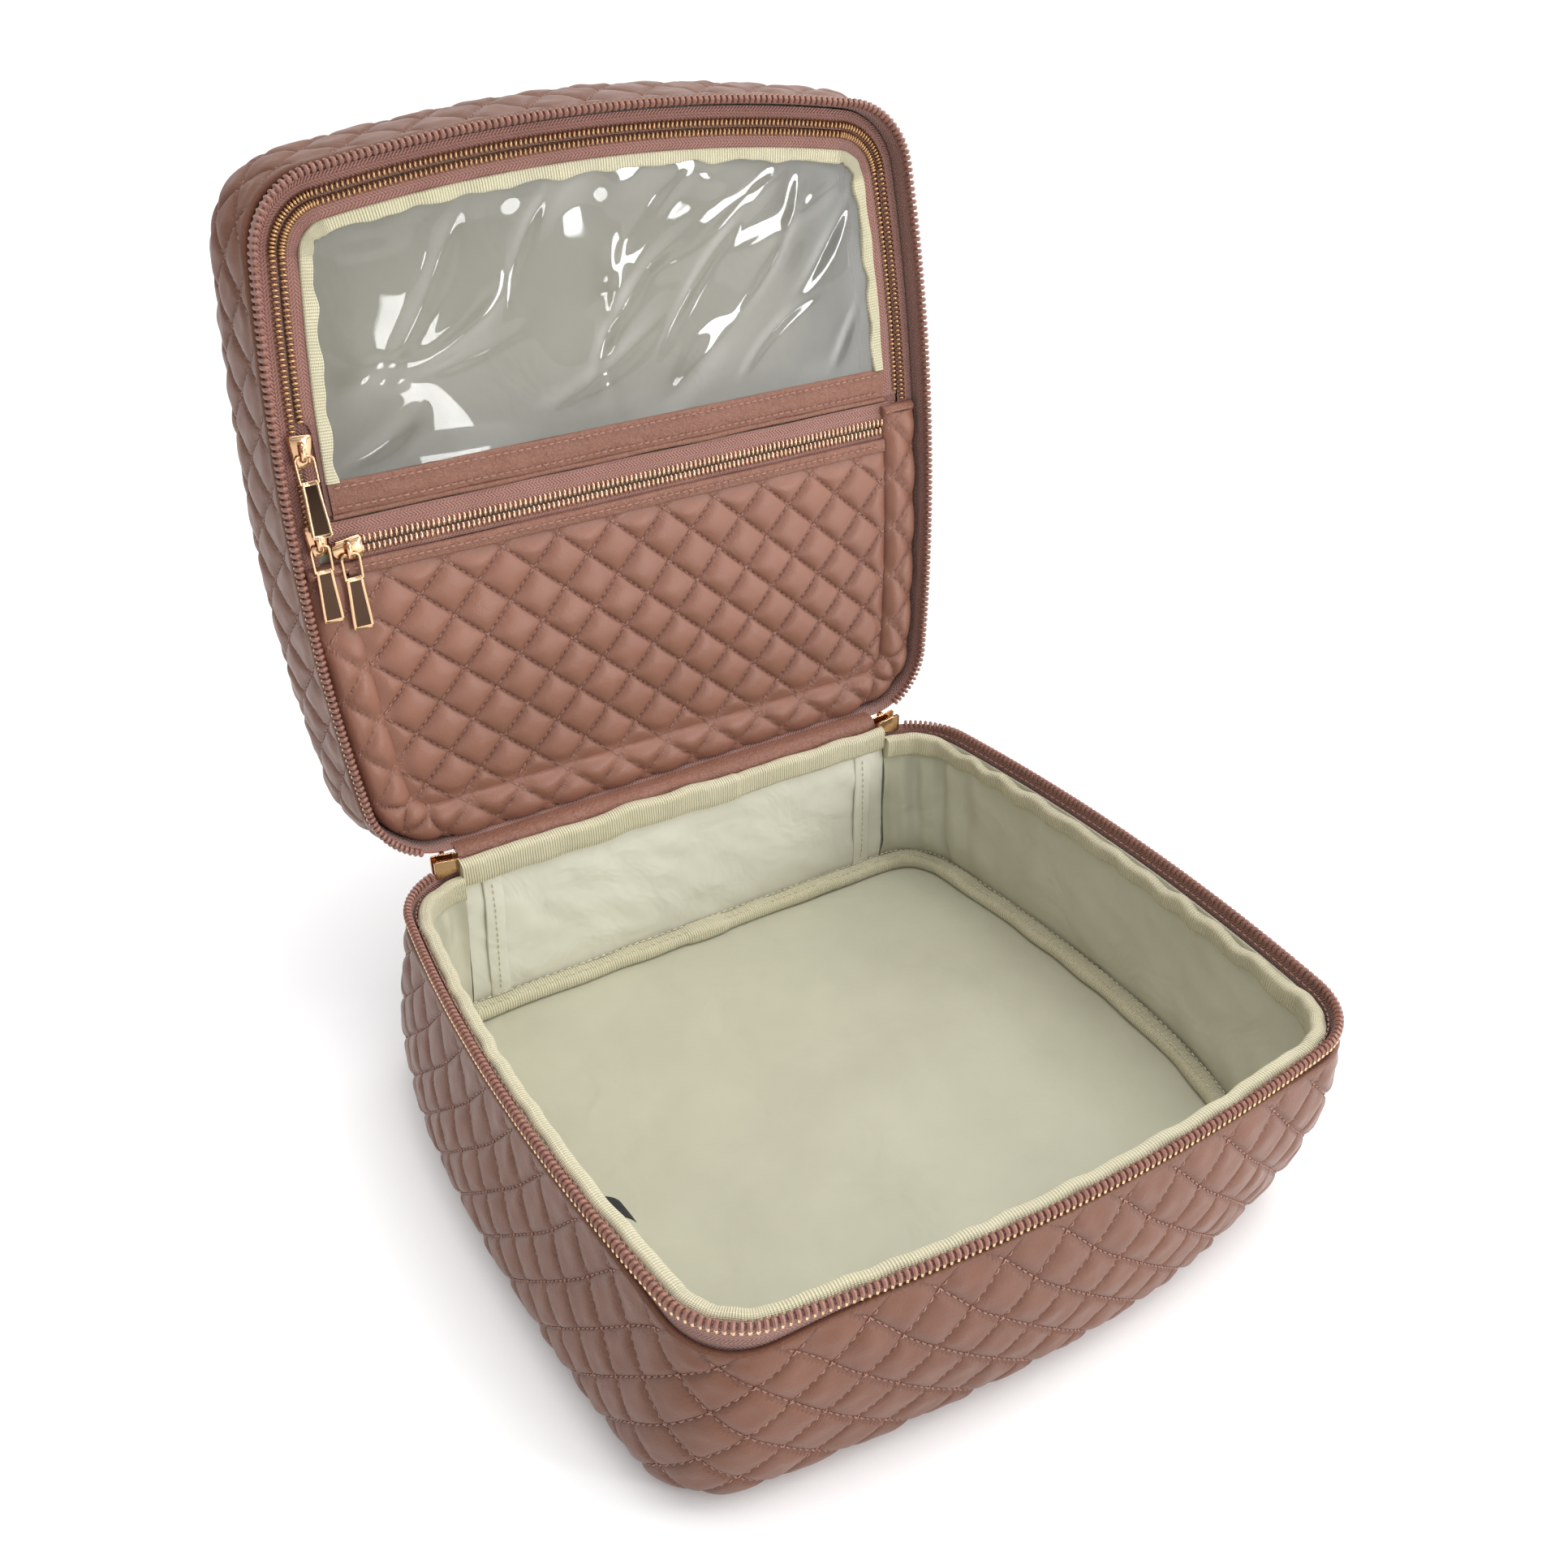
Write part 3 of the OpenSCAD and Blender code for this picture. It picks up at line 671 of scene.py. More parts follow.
dark_gold = metal_material("dark_gold", (0.06, 0.036, 0.024), 0.08)
coil_pink = coil_material("coil_pink", (0.26, 0.12, 0.09), 0.30)
coil_gold = coil_material("coil_gold", (0.80, 0.58, 0.33), 0.22, 1.0)
teeth_gold = coil_material("teeth_gold", (0.76, 0.52, 0.36), 0.14, 1.0)
teeth_bronze = coil_material("teeth_bronze", (0.42, 0.25, 0.13), 0.18, 1.0)
black_weave = plain_material("black_weave", (0.006, 0.006, 0.007), 0.8, 1600)
board = plain_material("board", (0.42, 0.34, 0.25), 0.85, 180)
foam = plain_material("foam", (0.74, 0.74, 0.70), 0.9, 900)


# ---------- the quilted shells ----------
CELLS_AROUND = round(AROUND / CELL)
CELL_U = AROUND / CELLS_AROUND


def shell_surface(total, place, bulge):
    """surf(u, t, relief) for a quilted wall: u round the rim, t from the lip under the edge up to the zip."""
    a = np.linspace(0, math.pi / 2, 60)
    lip_in, lip_up, lip_low, seam = 9.0, 15.0, 0.5, 1.3
    i = lip_in * (1 - np.sin(a))
    h = lip_low + (lip_up - lip_low) * (1 - np.cos(a))
    top = total - TAPE_SHOW - seam
    i, h = np.r_[i, 0.0], np.r_[h, top]
    t = np.r_[0, np.cumsum(np.hypot(np.diff(i), np.diff(h)))]
    height = t[-1]
    ni = np.r_[-np.sin(a) * (lip_up - lip_low), -1.0]
    nh = np.r_[-np.cos(a) * lip_in, 0.0]
    size = np.hypot(ni, nh)
    ni, nh = ni / size, nh / size

    def lift(u):
        """The wall stands higher over the tape along the sides, and dips at the front left corner."""
        s = np.mod(u + HALF, AROUND) - HALF
        corner = np.exp(-(((np.abs(s) - S_FRONT_CORNER) / 34) ** 2))
        low = np.maximum(corner, smooth(np.abs(s), S_REAR_CORNER - 60, S_REAR_CORNER - 15))
        return 4.3 * (1 - low) - 3.4 * np.exp(-(((s + S_FRONT_CORNER) / 27) ** 2))

    def surf(u, tt, relief=True):
        ii, hh = np.interp(tt, t, i), np.interp(tt, t, h)
        n_i, n_h = np.interp(tt, t, ni), np.interp(tt, t, nh)
        env = smooth(tt, 0, 13) * (0.22 + 0.78 * smooth(height - tt, 0, 5))
        cell = quilt(u, tt, CELL_U, WALL_V, 4.0, 0.62)
        off = bulge * np.sin(math.pi * np.clip(tt / height, 0, 1) ** 0.85) ** 1.3
        off = off + 0.8 * smooth(tt, 6, 20) * smooth(height - tt, 2, 16) * (
            np.sin(6 * math.pi * u / AROUND + 1.1) + 0.6 * np.sin(14 * math.pi * u / AROUND + tt / 16)
        ) * 0.6
        if relief:
            off = off + env * (-1.05 + 1.8 * cell + 0.25 * noise2(u, tt, 13, 91) * cell)
        else:
            off = off - 0.5 * env
        hh = hh + lift(u) * smooth(tt, height - 20, height)
        x, y = rim(u, ii + n_i * off)
        return place(x, y, total - (hh + n_h * off))

    return surf, height, top, lift


def quilted_shell(name, total, place, bulge, body, nodes):
    """A quilted wall: its outer skin, the fold under the zip and the inner skin down to the lip."""
    surf, height, top, lift = shell_surface(total, place, bulge)
    dv = WALL_V / STEPS
    t = np.r_[np.arange(0, height, dv), height]
    u = np.arange(CELLS_AROUND * STEPS) * CELL_U / STEPS
    uu, tt = np.meshgrid(u, t, indexing="ij")
    outer = surf(uu, tt)
    rows, puff = [outer], [quilt(uu, tt, CELL_U, WALL_V)]
    fold = [(1.35 - 1.35 * math.cos(a), top + 1.2 * math.sin(a)) for a in np.radians([35, 70, 105, 140, 172])]
    inner = [(2.85, top - 3), (2.85, 36), (2.85, 12), (5.0, 4.4), (9.0, 2.4)]
    section = np.array(fold + inner)
    raise_by = lift(u)[:, None] * (section[None, :, 1] > top - 4)
    ii = np.repeat(section[None, :, 0], len(u), 0)
    x, y = rim(u[:, None] + 0 * ii, ii)
    rows.append(place(x, y, total - (section[None, :, 1] + raise_by)))
    puff.append(np.full(ii.shape, 0.5))
    pts = np.concatenate(rows, 1)
    v = np.r_[t, height + 3 * np.arange(1, len(section) + 2)]
    o = grid_piece(
        name, pts, np.r_[u, AROUND], v, [shaded_wall_leather], wrap_u=True, wrap_v=True,
        lattice=STEPS, puff=np.concatenate(puff, 1),
    )
    finish_piece(o, body, "quilted_leather", *nodes)
    start, end = lattice_lines(CELL_U, WALL_V, 4.0, height - 0.6, np.arange(CELLS_AROUND))
    sew(name + "_stitches", surf, start, end, body, "quilted_leather", side=1 if body == "base" else -1)


quilted_shell("base_quilted_wall", BASE_DEPTH, on_base, 4.4, "base", ["base_wall", "base_rear_wall"])
quilted_shell("lid_quilted_wall", LID_DEPTH, on_lid, 3.4, "lid", ["lid_wall", "lid_rear_wall"])


def quilted_panel(name, place, total, body, node, crown):
    """The bottom of the base or the top of the lid: a flat quilted panel with a soft crown."""
    edge = 8.9  # just under the wall's lip
    tallest = 0.95 if body == "base" else 9.0  # the base stands on the floor

    def inside(x, y):
        return inset_of(x, y) - edge

    def front_of(x, y, relief=True):
        d = inside(x, y)
        env = smooth(d, 0, 9)
        pillow = env * (-1.2 + 2.2 * quilt(x, y, CELL, CELL)) if relief else -0.4 * env
        return total - 1.0 + np.minimum(crown * smooth(d, 0, 60) + pillow, tallest)

    def surf(x, y, relief=True):
        return place(x, y, front_of(x, y, relief))

    x, y, tri = clipped(-130, 130, -132, 120, inside)
    cell, back = quilt(x, y, CELL, CELL), np.full(len(x), total - 2.9)
    o = slab_piece(name, place, x, y, tri, front_of(x, y), back, [shaded_wall_leather], puff=cell)
    finish_piece(o, body, "quilted_leather", node)
    start, end = lattice_lines(CELL, CELL, -132, 120, np.arange(-14, 15))
    ok = (inside(*start.T) > 2) & (inside(*end.T) > 2)
    side = -1 if body == "base" else 1
    sew(name + "_stitches", surf, start[ok], end[ok], body, "quilted_leather", side=side)


quilted_panel("base_bottom_panel", on_base, BASE_DEPTH, "base", "base_bottom", 0.0)
quilted_panel("lid_top_panel", on_lid, LID_DEPTH, "lid", "lid_top", 3.0)


# ---------- hidden padding ----------
def pad_ring(name, place, section, body, node):
    o = ribbon(name, place, 0, AROUND, section, [foam], step=6, closed=True)
    finish_piece(o, body, "foam", node)


pad_ring("base_wall_padding", on_base, rounded(3.1, 4.8, 14.5, 69.5, 0.8), "base", "base_wall_foam")
pad_ring("lid_wall_padding", on_lid, rounded(3.1, 4.8, 14.5, 41.5, 0.8), "lid", "lid_wall_foam")


def level_grid(edge, cell):
    """A regular grid over the outline moved inwards by edge."""
    return clipped(-131, 131, -133, 124, lambda x, y: inset_of(x, y) - edge, steps=1, cell=(cell, cell))


def flat_pad(name, place, edge, front, back, mat, body, slot, node, wave=0.0, seed=1):
    """A level sheet or pad that fills the outline."""
    cell = 3.4
    x, y, tri = level_grid(edge, cell)
    d = inset_of(x, y) - edge
    ripple = np.maximum(wave * smooth(d, 0, 14) * (0.5 + 0.5 * noise2(x, y, 90, seed)), 0)
    o = slab_piece(name, place, x, y, tri, front - ripple, back - ripple, [mat])
    finish_piece(o, body, slot, node)


def boards():
    """The base's board follows the settled floor. The lid's is the CAD node with the board material."""
    x, y, tri = level_grid(6.2, 5)
    low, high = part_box("base_board")
    front, back = (np.full(len(x), RIM_Z - z / MM) for z in (high[2], low[2]))
    o = slab_piece("base_board_sheet", on_base, x, y, tri, front + 0.1, back - 0.1, [board])
    finish_piece(o, "base", "board", "base_board")
    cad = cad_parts["lid_board"]
    cad.data.materials.clear()
    cad.data.materials.append(board)


flat_pad("base_floor_padding", on_base, 5.2, 73.1, 74.8, foam, "base", "foam", "base_floor_foam")
flat_pad(
    "base_floor_lining", on_base, 5.1, 72.0, 72.8, lining, "base", "lining", "base_lining_floor", wave=0.7,
    seed=3,
)
flat_pad(
    "lid_back_lining", on_lid, 5.1, 46.0, 46.8, shaded_lining, "lid", "lining", "lid_lining_back", wave=0.8,
    seed=8,
)
boards()


# ---------- linings ----------
S_PANEL = s_at_rear_x(92.0, 5.0)


def wall_lining(name, place, s0, s1, d0, d1, body, node, mat, fold, seed, closed=False):
    """A lining that hangs against the wall, with soft upright folds."""
    m = max(6, int((d1 - d0) / 4))
    down = np.linspace(d0, d1, m + 1)
    outer = np.c_[np.full(m + 1, 5.0), down]
    inner = np.c_[np.full(m + 1, 5.65), down][::-1]
    section = np.vstack([outer, inner])

    def shift(s, sec):
        dd = sec[..., 1]
        env = smooth(dd, d0, d0 + 12) * smooth(d1 - dd, 0, 12)
        near = np.exp(-(((np.abs(np.mod(s + HALF, AROUND) - HALF) - S_REAR_CORNER) / 26) ** 2))
        creases = np.abs(noise2(s + 1.4 * dd, dd, 34, seed + 1))
        gathers = 1 + np.sin(s * 2 * math.pi / 17 + dd / 22)
        drape = 0.6 + 0.6 * noise2(s, dd * 0.35, 55, seed) + 0.55 * creases + near * 1.5 * gathers
        return fold * env * np.clip(drape, 0, 2.6), 0 * dd

    o = ribbon(name, place, s0, s1, section, [mat], step=2.2, shift=shift, closed=closed)
    finish_piece(o, body, "lining", node)


wall_lining(
    "base_side_lining", on_base, -S_PANEL, S_PANEL, 6.2, 69.6, "base", "base_lining_side", lining_film, 1.5, 21,
)
wall_lining(
    "base_rear_lining", on_base, S_PANEL + 0.4, AROUND - S_PANEL - 0.4, 6.2, 69.6, "base", "base_lining_rear",
    pale_film, 1.3, 5,
)
wall_lining(
    "lid_wall_lining", on_lid, 0, AROUND, 11.2, 41.9, "lid", "lid_lining_wall", shaded_lining, 0.5, 6,
    closed=True,
)


# ---------- zips ----------
def slot_of(mat):
    """The slot has the material's name, without the number that Blender may add to it."""
    return mat.name.split(".")[0]


def woven(name, place, s0, s1, section, body, mat, *nodes, **look):
    """A tape or ribbon along the rim."""
    o = ribbon(name, place, s0, s1, rounded(*section), [mat], **look)
    finish_piece(o, body, slot_of(mat), *nodes)
    return o


def lean(s, sec):
    """The tape leans outwards towards its coil."""
    return -1.5 * smooth(12 - sec[..., 1], 0, 9) + 0 * s, 0 * s + 0 * sec[..., 1]


MAIN_TAPE = (3.15, 3.95, 1.7, 16.5, 0.35)  # insets, depths and corner radius of the section
for half_zip, place, body in (("lower", on_base, "base"), ("upper", on_lid, "lid")):
    tape = woven(
        f"main_tape_{half_zip}_weave", place, 0, AROUND, MAIN_TAPE, body, zip_tape, "main_tape_" + half_zip,
        closed=True, step=2.5, shift=lean,
    )


def tangent(s):
    x0, y0 = rim(s - 0.5)
    x1, y1 = rim(s + 0.5)
    t = np.stack([x1 - x0, y1 - y0], -1)
    return t / np.linalg.norm(t, axis=-1, keepdims=True)


def coil_row(name, place, s0, s1, body, node, pitch=2.35):
    """Moulded loops clasping the tape's edge: rose heads, gilded on their outer legs."""
    s = np.arange(s0, s1, pitch)
    loop = np.array([(0.95, 3.9), (0.80, 2.5), (0.95, 1.4), (1.7, 0.85), (2.55, 1.2), (2.75, 2.1), (2.6, 3.4)])
    x, y = rim(s[:, None] + 0 * loop[None, :, 0], loop[None, :, 0] + 0 * s[:, None])
    paths = place(x, y, loop[None, :, 1] + 0 * x)
    t = tangent(s)
    a = place(x[:, 0], y[:, 0], 0 * s)
    b = place(x[:, 0] + t[:, 0], y[:, 0] + t[:, 1], 0 * s)
    ref = b - a
    ref /= np.linalg.norm(ref, axis=1, keepdims=True)
    radii = [0.62, 0.72, 0.8, 0.84, 0.8, 0.7, 0.6]
    o = tubes(name, paths, ref, radii, 6, [coil_pink, coil_gold], mat_of=[1, 0, 0, 0, 0, 0])
    finish_piece(o, body, "zip_coil", node)


S_COIL = s_at_rear_x(110.5, 2.0)
coil_row("main_coil_lower_teeth", on_base, -S_COIL, S_COIL, "base", "main_coil_lower")
coil_row("main_coil_upper_teeth", on_lid, -S_COIL, S_COIL, "lid", "main_coil_upper")


def gold_teeth(name, place, start, end, depth, body, node, up, mat=None):
    """Straight polished teeth, each a short rounded bar from start to end (x, y)."""
    a, b = place(start[:, 0], start[:, 1], depth), place(end[:, 0], end[:, 1], depth)
    u = place(start[:, 0], start[:, 1], depth - 1.0) - a
    d = b - a
    ref = np.cross(d, u)
    ref /= np.linalg.norm(ref, axis=1, keepdims=True)
    k = np.array([0.0, 0.1, 0.5, 0.9, 1.0])[None, :, None]
    arch = np.array([0, 0.14, 0.22, 0.14, 0])[None, :, None]
    paths = a[:, None] + d[:, None] * k + u[:, None] * (up + arch)
    o = tubes(name, paths, ref, [0.36, 0.58, 0.62, 0.58, 0.36], 8, [mat or teeth_gold], flat=1.2)
    finish_piece(o, body, "zip_coil", node)


def u_zip(name, i0, i1, y_end, body, node, notch):
    """Teeth of one row of the flap's three-sided zip."""
    s_end = s_at_y(y_end, (i0 + i1) / 2)
    s = np.arange(-s_end + 0.6, s_end - 0.6, 1.85)
    x, y = rim(s, i0)
    if notch:
        s = s[~((x < 0) & (REAR_Y - y < NOTCH_V + 0.5))]
    else:
        s = s[~((x > 0) & (REAR_Y - y < RIGHT_HEM_V + 4))]
    start, end = np.stack(rim(s, i0), -1), np.stack(rim(s, i1), -1)
    gold_teeth(name, on_lid, start, end, np.full(len(s), 9.7), body, node, 0.2, teeth_bronze)


u_zip("flap_zip_teeth_outer", 8.1, 10.55, REAR_Y - 126.5, "lid", "flap_zip_coil_outer", False)
u_zip("flap_zip_teeth_inner", 11.45, 13.8, REAR_Y - 138.5, "flap", "flap_coil_inner", True)

def notched(s, sec):
    """Keeps the flap's tape clear of the parked sliders at the lower left; its inner edge is slack."""
    x, y = rim(s + 0 * sec[..., 0], sec[..., 0] + 0 * s)
    near = smooth(NOTCH_V + 4 - (REAR_Y - y), 0, 6) * (x < 0)
    need = np.maximum(0, -NOTCH_X + 0.2 - x) * near
    return need, 0.25 * noise2(s, 0 * s, 40, 31) * smooth(sec[..., 0], 14.5, 17.5) + 0 * sec[..., 1]


def puckered(s, sec):
    inner = smooth(sec[..., 0], 19, 22)
    wave = 0.55 * np.sin(s * 2 * math.pi / 23 + np.sin(s / 31)) + 0.45 * noise2(s, 0 * s, 17, 9)
    return inner * wave * 0.9, -0.7 * (0.5 + 0.5 * noise2(s, sec[..., 0], 19, 12)) * (sec[..., 1] < 10)


# name, body, material, where it ends (height on the lid, inset), section, CAD nodes, edge
for name, body, mat, (v, inset), section, nodes, shift in (
    (
        "flap_zip_tape_outer_weave", "lid", zip_tape, (118.8, 7.0), (4.05, 11.1, 9.9, 10.6, 0.3),
        ["flap_zip_tape_outer"], None,
    ),
    ("flap_zip_facing", "lid", zip_tape, (126.0, 15.0), (11.45, 19.0, 10.98, 11.45, 0.2), [], None),
    (
        "flap_tape_inner_weave", "flap", zip_tape, (138.2, 16.0), (11.9, 18.5, 9.75, 10.5, 0.3),
        ["flap_tape_inner"], notched,
    ),
    (
        "flap_binding_ribbon", "flap", cream_binding, (149.2, 20.0), (18.0, 22.6, 9.0, 10.9, 0.8),
        ["flap_binding"], puckered,
    ),
):
    s_end = s_at_y(REAR_Y - v, inset)
    woven(name, on_lid, -s_end, s_end, section, body, mat, *nodes, shift=shift)


# ---------- straight strips on the lid front ----------
def strip(name, v0, v1, h0, h1, half, mat, body, node, puffy, seed, stitch_rows=()):
    """A softly rounded strip across the lid between heights v0 and v1, its front at depth h0."""
    step, wave = 2.2, 0.3
    section = rounded(v0, v1, h0, h1, min(0.9, (h1 - h0) / 2), 4)
    mid = (v0 + v1) / 2
    xs = np.arange(-half, half + step, step)
    xs = np.clip(xs, -half, half)
    x = np.repeat(xs[:, None], len(section), 1)
    v = np.repeat(section[None, :, 0], len(xs), 0) + wave * 0.5 * noise2(x, 0 * x, 60, seed)
    h = np.repeat(section[None, :, 1], len(xs), 0)
    bow = puffy * (1 - np.clip(np.abs(v - mid) / ((v1 - v0) / 2), 0, 1) ** 2)
    h = h - np.where(h < (h0 + h1) / 2, bow + 0.2 * noise2(x, v, 25, seed + 2), 0)
    pts = on_lid(x, REAR_Y - v, h)
    o = grid_piece(name, pts, xs, path_length(section), [mat], wrap_v=True)
    finish_piece(o, body, slot_of(mat), node)

    def surf(xx, vv, relief=True):
        low = puffy * (1 - np.clip(np.abs(vv - mid) / ((v1 - v0) / 2), 0, 1) ** 2)
        return on_lid(xx, REAR_Y - vv - wave * 0.5 * noise2(xx, 0 * xx, 60, seed), h0 - low)

    for k, row in enumerate(stitch_rows):
        a = np.arange(-half + 2, half - 4, 3.0)
        start, end = np.c_[a, 0 * a + row], np.c_[a + 2.0, 0 * a + row]
        sew(f"{name}_stitches_{k + 1}", surf, start, end, body, slot_of(mat), radius=0.40, lift=0.25)


def half_at(v, inset):
    """Half the width of the lid at height v, moved inwards."""
    y = REAR_Y - v
    return SIDE_CX + math.sqrt((SIDE_R - inset) ** 2 - y * y)


def pocket_teeth(name, v0, v1, node, offset):
    half = half_at(125, 20.4)
    x = np.arange(-half + 0.5, half - 0.5, 2.0) + offset
    start, end = np.c_[x, 0 * x + REAR_Y - v0], np.c_[x, 0 * x + REAR_Y - v1]
    gold_teeth(name, on_lid, start, end, np.full(len(x), 9.6), "lid", node, 0.15)


# name, heights, depths, half width, material, body, CAD node, puff, seed, stitch rows
for row in (
    (
        "flap_band_leather", FOLD_V + 1, 149.5, 9.2, 11, half_at(143, 18.6), smooth_leather, "flap", "flap_band",
        0.6, 2, (147.4, 140.4),
    ),
    (
        "pocket_tape_upper_weave", 126.6, 135.8, 9.7, 10.5, half_at(132, 15.6), zip_tape, "lid",
        "pocket_tape_upper", 0.2, 3,
    ),
    (
        "pocket_tape_lower_weave", 120.8, 125.4, 9.7, 10.5, half_at(122, 15.6), zip_tape, "lid",
        "pocket_tape_lower", 0.1, 4,
    ),
    (
        "pocket_hem_leather", 115.6, 121, 7.7, 10, half_at(118, 19.9), smooth_leather, "lid", "pocket_hem", 0.4,
        5, (118.7,),
    ),
    (
        "flap_fold_leather", 136.1, 138.3, 9.1, 10.9, half_at(137, 18.6), smooth_leather, "lid", "flap_fold_edge",
        0.1, 6,
    ),
):
    strip(*row)
pocket_teeth("pocket_teeth_lower", 122.8, 125.65, "pocket_coil_lower", 0.0)
pocket_teeth("pocket_teeth_upper", 126.35, 129.2, "pocket_coil_upper", 1.0)


# ---------- the quilted pocket and its padded border ----------
POCKET_CELL = (22.6, 21.2)


def pocket():
    """The quilted pocket panel, flattened near its top and under the hanging pulls."""
    def inside(x, y):
        return np.minimum(inset_of(x, y) - 18.8, y - (REAR_Y - POCKET_TOP_V))

    def front_of(x, y, relief=True):
        d = inside(x, y)
        env = smooth(d, 0, 7)
        cell = quilt(x, y, *POCKET_CELL)
        belly = 1.6 * smooth(d, 0, 50) * smooth(y, 24, 46)
        rest = smooth(-x, 104, 112) * smooth(y, 8, 14) * smooth(36 - y, 0, 8)
        pillow = env * (-0.9 + (3.1 + 0.4 * smooth(y, 24, 46)) * cell) if relief else 0.4 * env
        return 8.9 - (1 - rest) * (belly + pillow)

    def surf(x, y, relief=True):
        return on_lid(x, y, front_of(x, y, relief))

    x, y, tri = clipped(-117, 117, 6, 106, inside, cell=POCKET_CELL)
    cell = quilt(x, y, *POCKET_CELL)
    name, back = "pocket_quilted_panel", np.full(len(x), 10.4)
    o = slab_piece(name, on_lid, x, y, tri, front_of(x, y), back, [quilted_leather], puff=cell)
    finish_piece(o, "lid", "quilted_leather", "pocket_panel")
    start, end = lattice_lines(*POCKET_CELL, 8, 106, np.arange(-11, 12))
    ok = (inside(*start.T) > 1) & (inside(*end.T) > 1)
    sew(name + "_stitches", surf, start[ok], end[ok], "lid", "quilted_leather", side=-1)


ROLL_IN = 20.4  # inset of the roll's inner edge
ROLL_STRETCH, ROLL_SHIFT = 1.15, 3.0  # its pattern across, from the inset


def foot(u):
    """The roll's outer inset: wider where it hangs over the sewn hinge."""
    return 4.2 - 2.7 * smooth(100 - np.abs(u - HALF), 0, 9)


def roll_quilt(u, i):
    return quilt(u, i * ROLL_STRETCH + ROLL_SHIFT, CELL, CELL)


def border_roll():
    """The padded quilted roll round the pocket's sides and foot. It gives way under the hanging pulls."""
    s_end, s_left = s_at_y(REAR_Y - RIGHT_HEM_V, 12.8), s_at_y(REAR_Y - BORDER_TOP_V, 12.8)
    n = int(round((AROUND - s_left - s_end) / 1.375))
    s = np.linspace(s_end, AROUND - s_left, n)
    uu, ii = np.meshgrid(s, np.linspace(0, 1, 21), indexing="ij")
    ii = foot(uu) + ii * (ROLL_IN - foot(uu))

    def front_of(u, i, relief=True):
        mid = (foot(u) + ROLL_IN) / 2
        k = np.clip((i - mid) / (ROLL_IN - mid), -1, 1)
        dome = np.sqrt(np.clip(1 - k**2, 0, 1)) ** 0.8
        ends = smooth(np.minimum(u - s_end, AROUND - s_left - u), 0, 7)
        pressed = smooth(u, AROUND - s_left - 34, AROUND - s_left - 22)
        tall = 4.4 * (1 - pressed) + 2.6 * pressed
        puffs = ends * (1 - 0.75 * pressed) * (-1.3 + 3.4 * roll_quilt(u, i) if relief else 0.3)
        low = dome * (tall + puffs)
        return 11.4 - 0.9 * dome - low + 0.35 * noise2(u, i, 40, 17) * dome * (1 - pressed)

    h = front_of(uu, ii)
    back = np.full((len(s), 5), 13.1)
    bi = ROLL_IN + (foot(s)[:, None] - ROLL_IN) * np.linspace(0, 1, 5)[None]
    x, y = rim(np.concatenate([uu, np.repeat(s[:, None], 5, 1)], 1), np.concatenate([ii, bi], 1))
    pts = on_lid(x, y, np.concatenate([h, back], 1))
    puff = np.concatenate([roll_quilt(uu, ii), back * 0 + 0.5], 1)
    v = np.arange(pts.shape[1] + 1) * 1.1
    o = grid_piece("pocket_border_roll", pts, s, v, [quilted_leather], wrap_v=True, puff=puff)
    finish_piece(o, "lid", "quilted_leather", "pocket_border")

    def surf(u, v, relief=True):
        i = (v - ROLL_SHIFT) / ROLL_STRETCH
        x, y = rim(u, i)
        return on_lid(x, y, front_of(u, i, relief))

    v0, v1 = (ROLL_SHIFT + i * ROLL_STRETCH for i in (5.2, 19.6))
    start, end = lattice_lines(CELL, CELL, v0, v1, np.arange(0, int(AROUND / CELL) + 2))
    low, high = np.minimum(start[:, 0], end[:, 0]), np.maximum(start[:, 0], end[:, 0])
    ok = (low > s_end + 3) & (high < AROUND - s_left - 3)
    sew("pocket_border_stitches", surf, start[ok], end[ok], "lid", "quilted_leather", side=-1)


pocket()
border_roll()


def border_hems():
    """The turned, stitched ends of the border roll beside the zip."""
    for k, sign in enumerate((-1, 1)):
        top = (RIGHT_HEM_V if sign > 0 else BORDER_TOP_V) + 3.2
        s0, s1 = s_at_y(REAR_Y - top, 12), s_at_y(REAR_Y - top + 4.0, 12)
        if sign < 0:
            s0, s1 = AROUND - s1, AROUND - s0

        def domed(s, sec):
            dome = np.sin(math.pi * np.clip((s - s0) / (s1 - s0), 0, 1))
            return 0 * s + 0 * sec[..., 0], -1.3 * dome * (sec[..., 1] < 10)

        def surf(u, i, relief=True):
            x, y = rim(u, i)
            return on_lid(x, y, 0 * u + 6.35)

        section = (5.0, 20.2, 7.4, 13.0, 1.6, 4)
        woven(
            f"border_hem_leather_{k + 1}", on_lid, s0, s1, section, "lid", smooth_leather, "border_hem", step=0.6,
            shift=domed,
        )
        a = np.arange(6.9, 18.2, 2.8)
        sm = (s0 + s1) / 2 + 0 * a
        start, end = np.c_[sm, a], np.c_[sm, a + 1.9]
        sew(f"border_hem_stitches_{k + 1}", surf, start, end, "lid", "smooth_leather", side=-1)


border_hems()


def divider():
    """The lining behind the pocket."""
    def inside(x, y):
        return np.minimum(inset_of(x, y) - 6.0, y - (REAR_Y - 135.9))

    x, y, tri = clipped(-131, 131, -14, 120, inside, steps=1, cell=(3.6, 3.6))
    back = 14.0 + 0.9 * smooth(inside(x, y), 0, 20) * (0.5 + 0.5 * noise2(x, y, 70, 4))
    o = slab_piece("pocket_back_lining", on_lid, x, y, tri, np.full(len(x), 13.35), back, [lining])
    finish_piece(o, "lid", "lining", "pocket_divider")


divider()


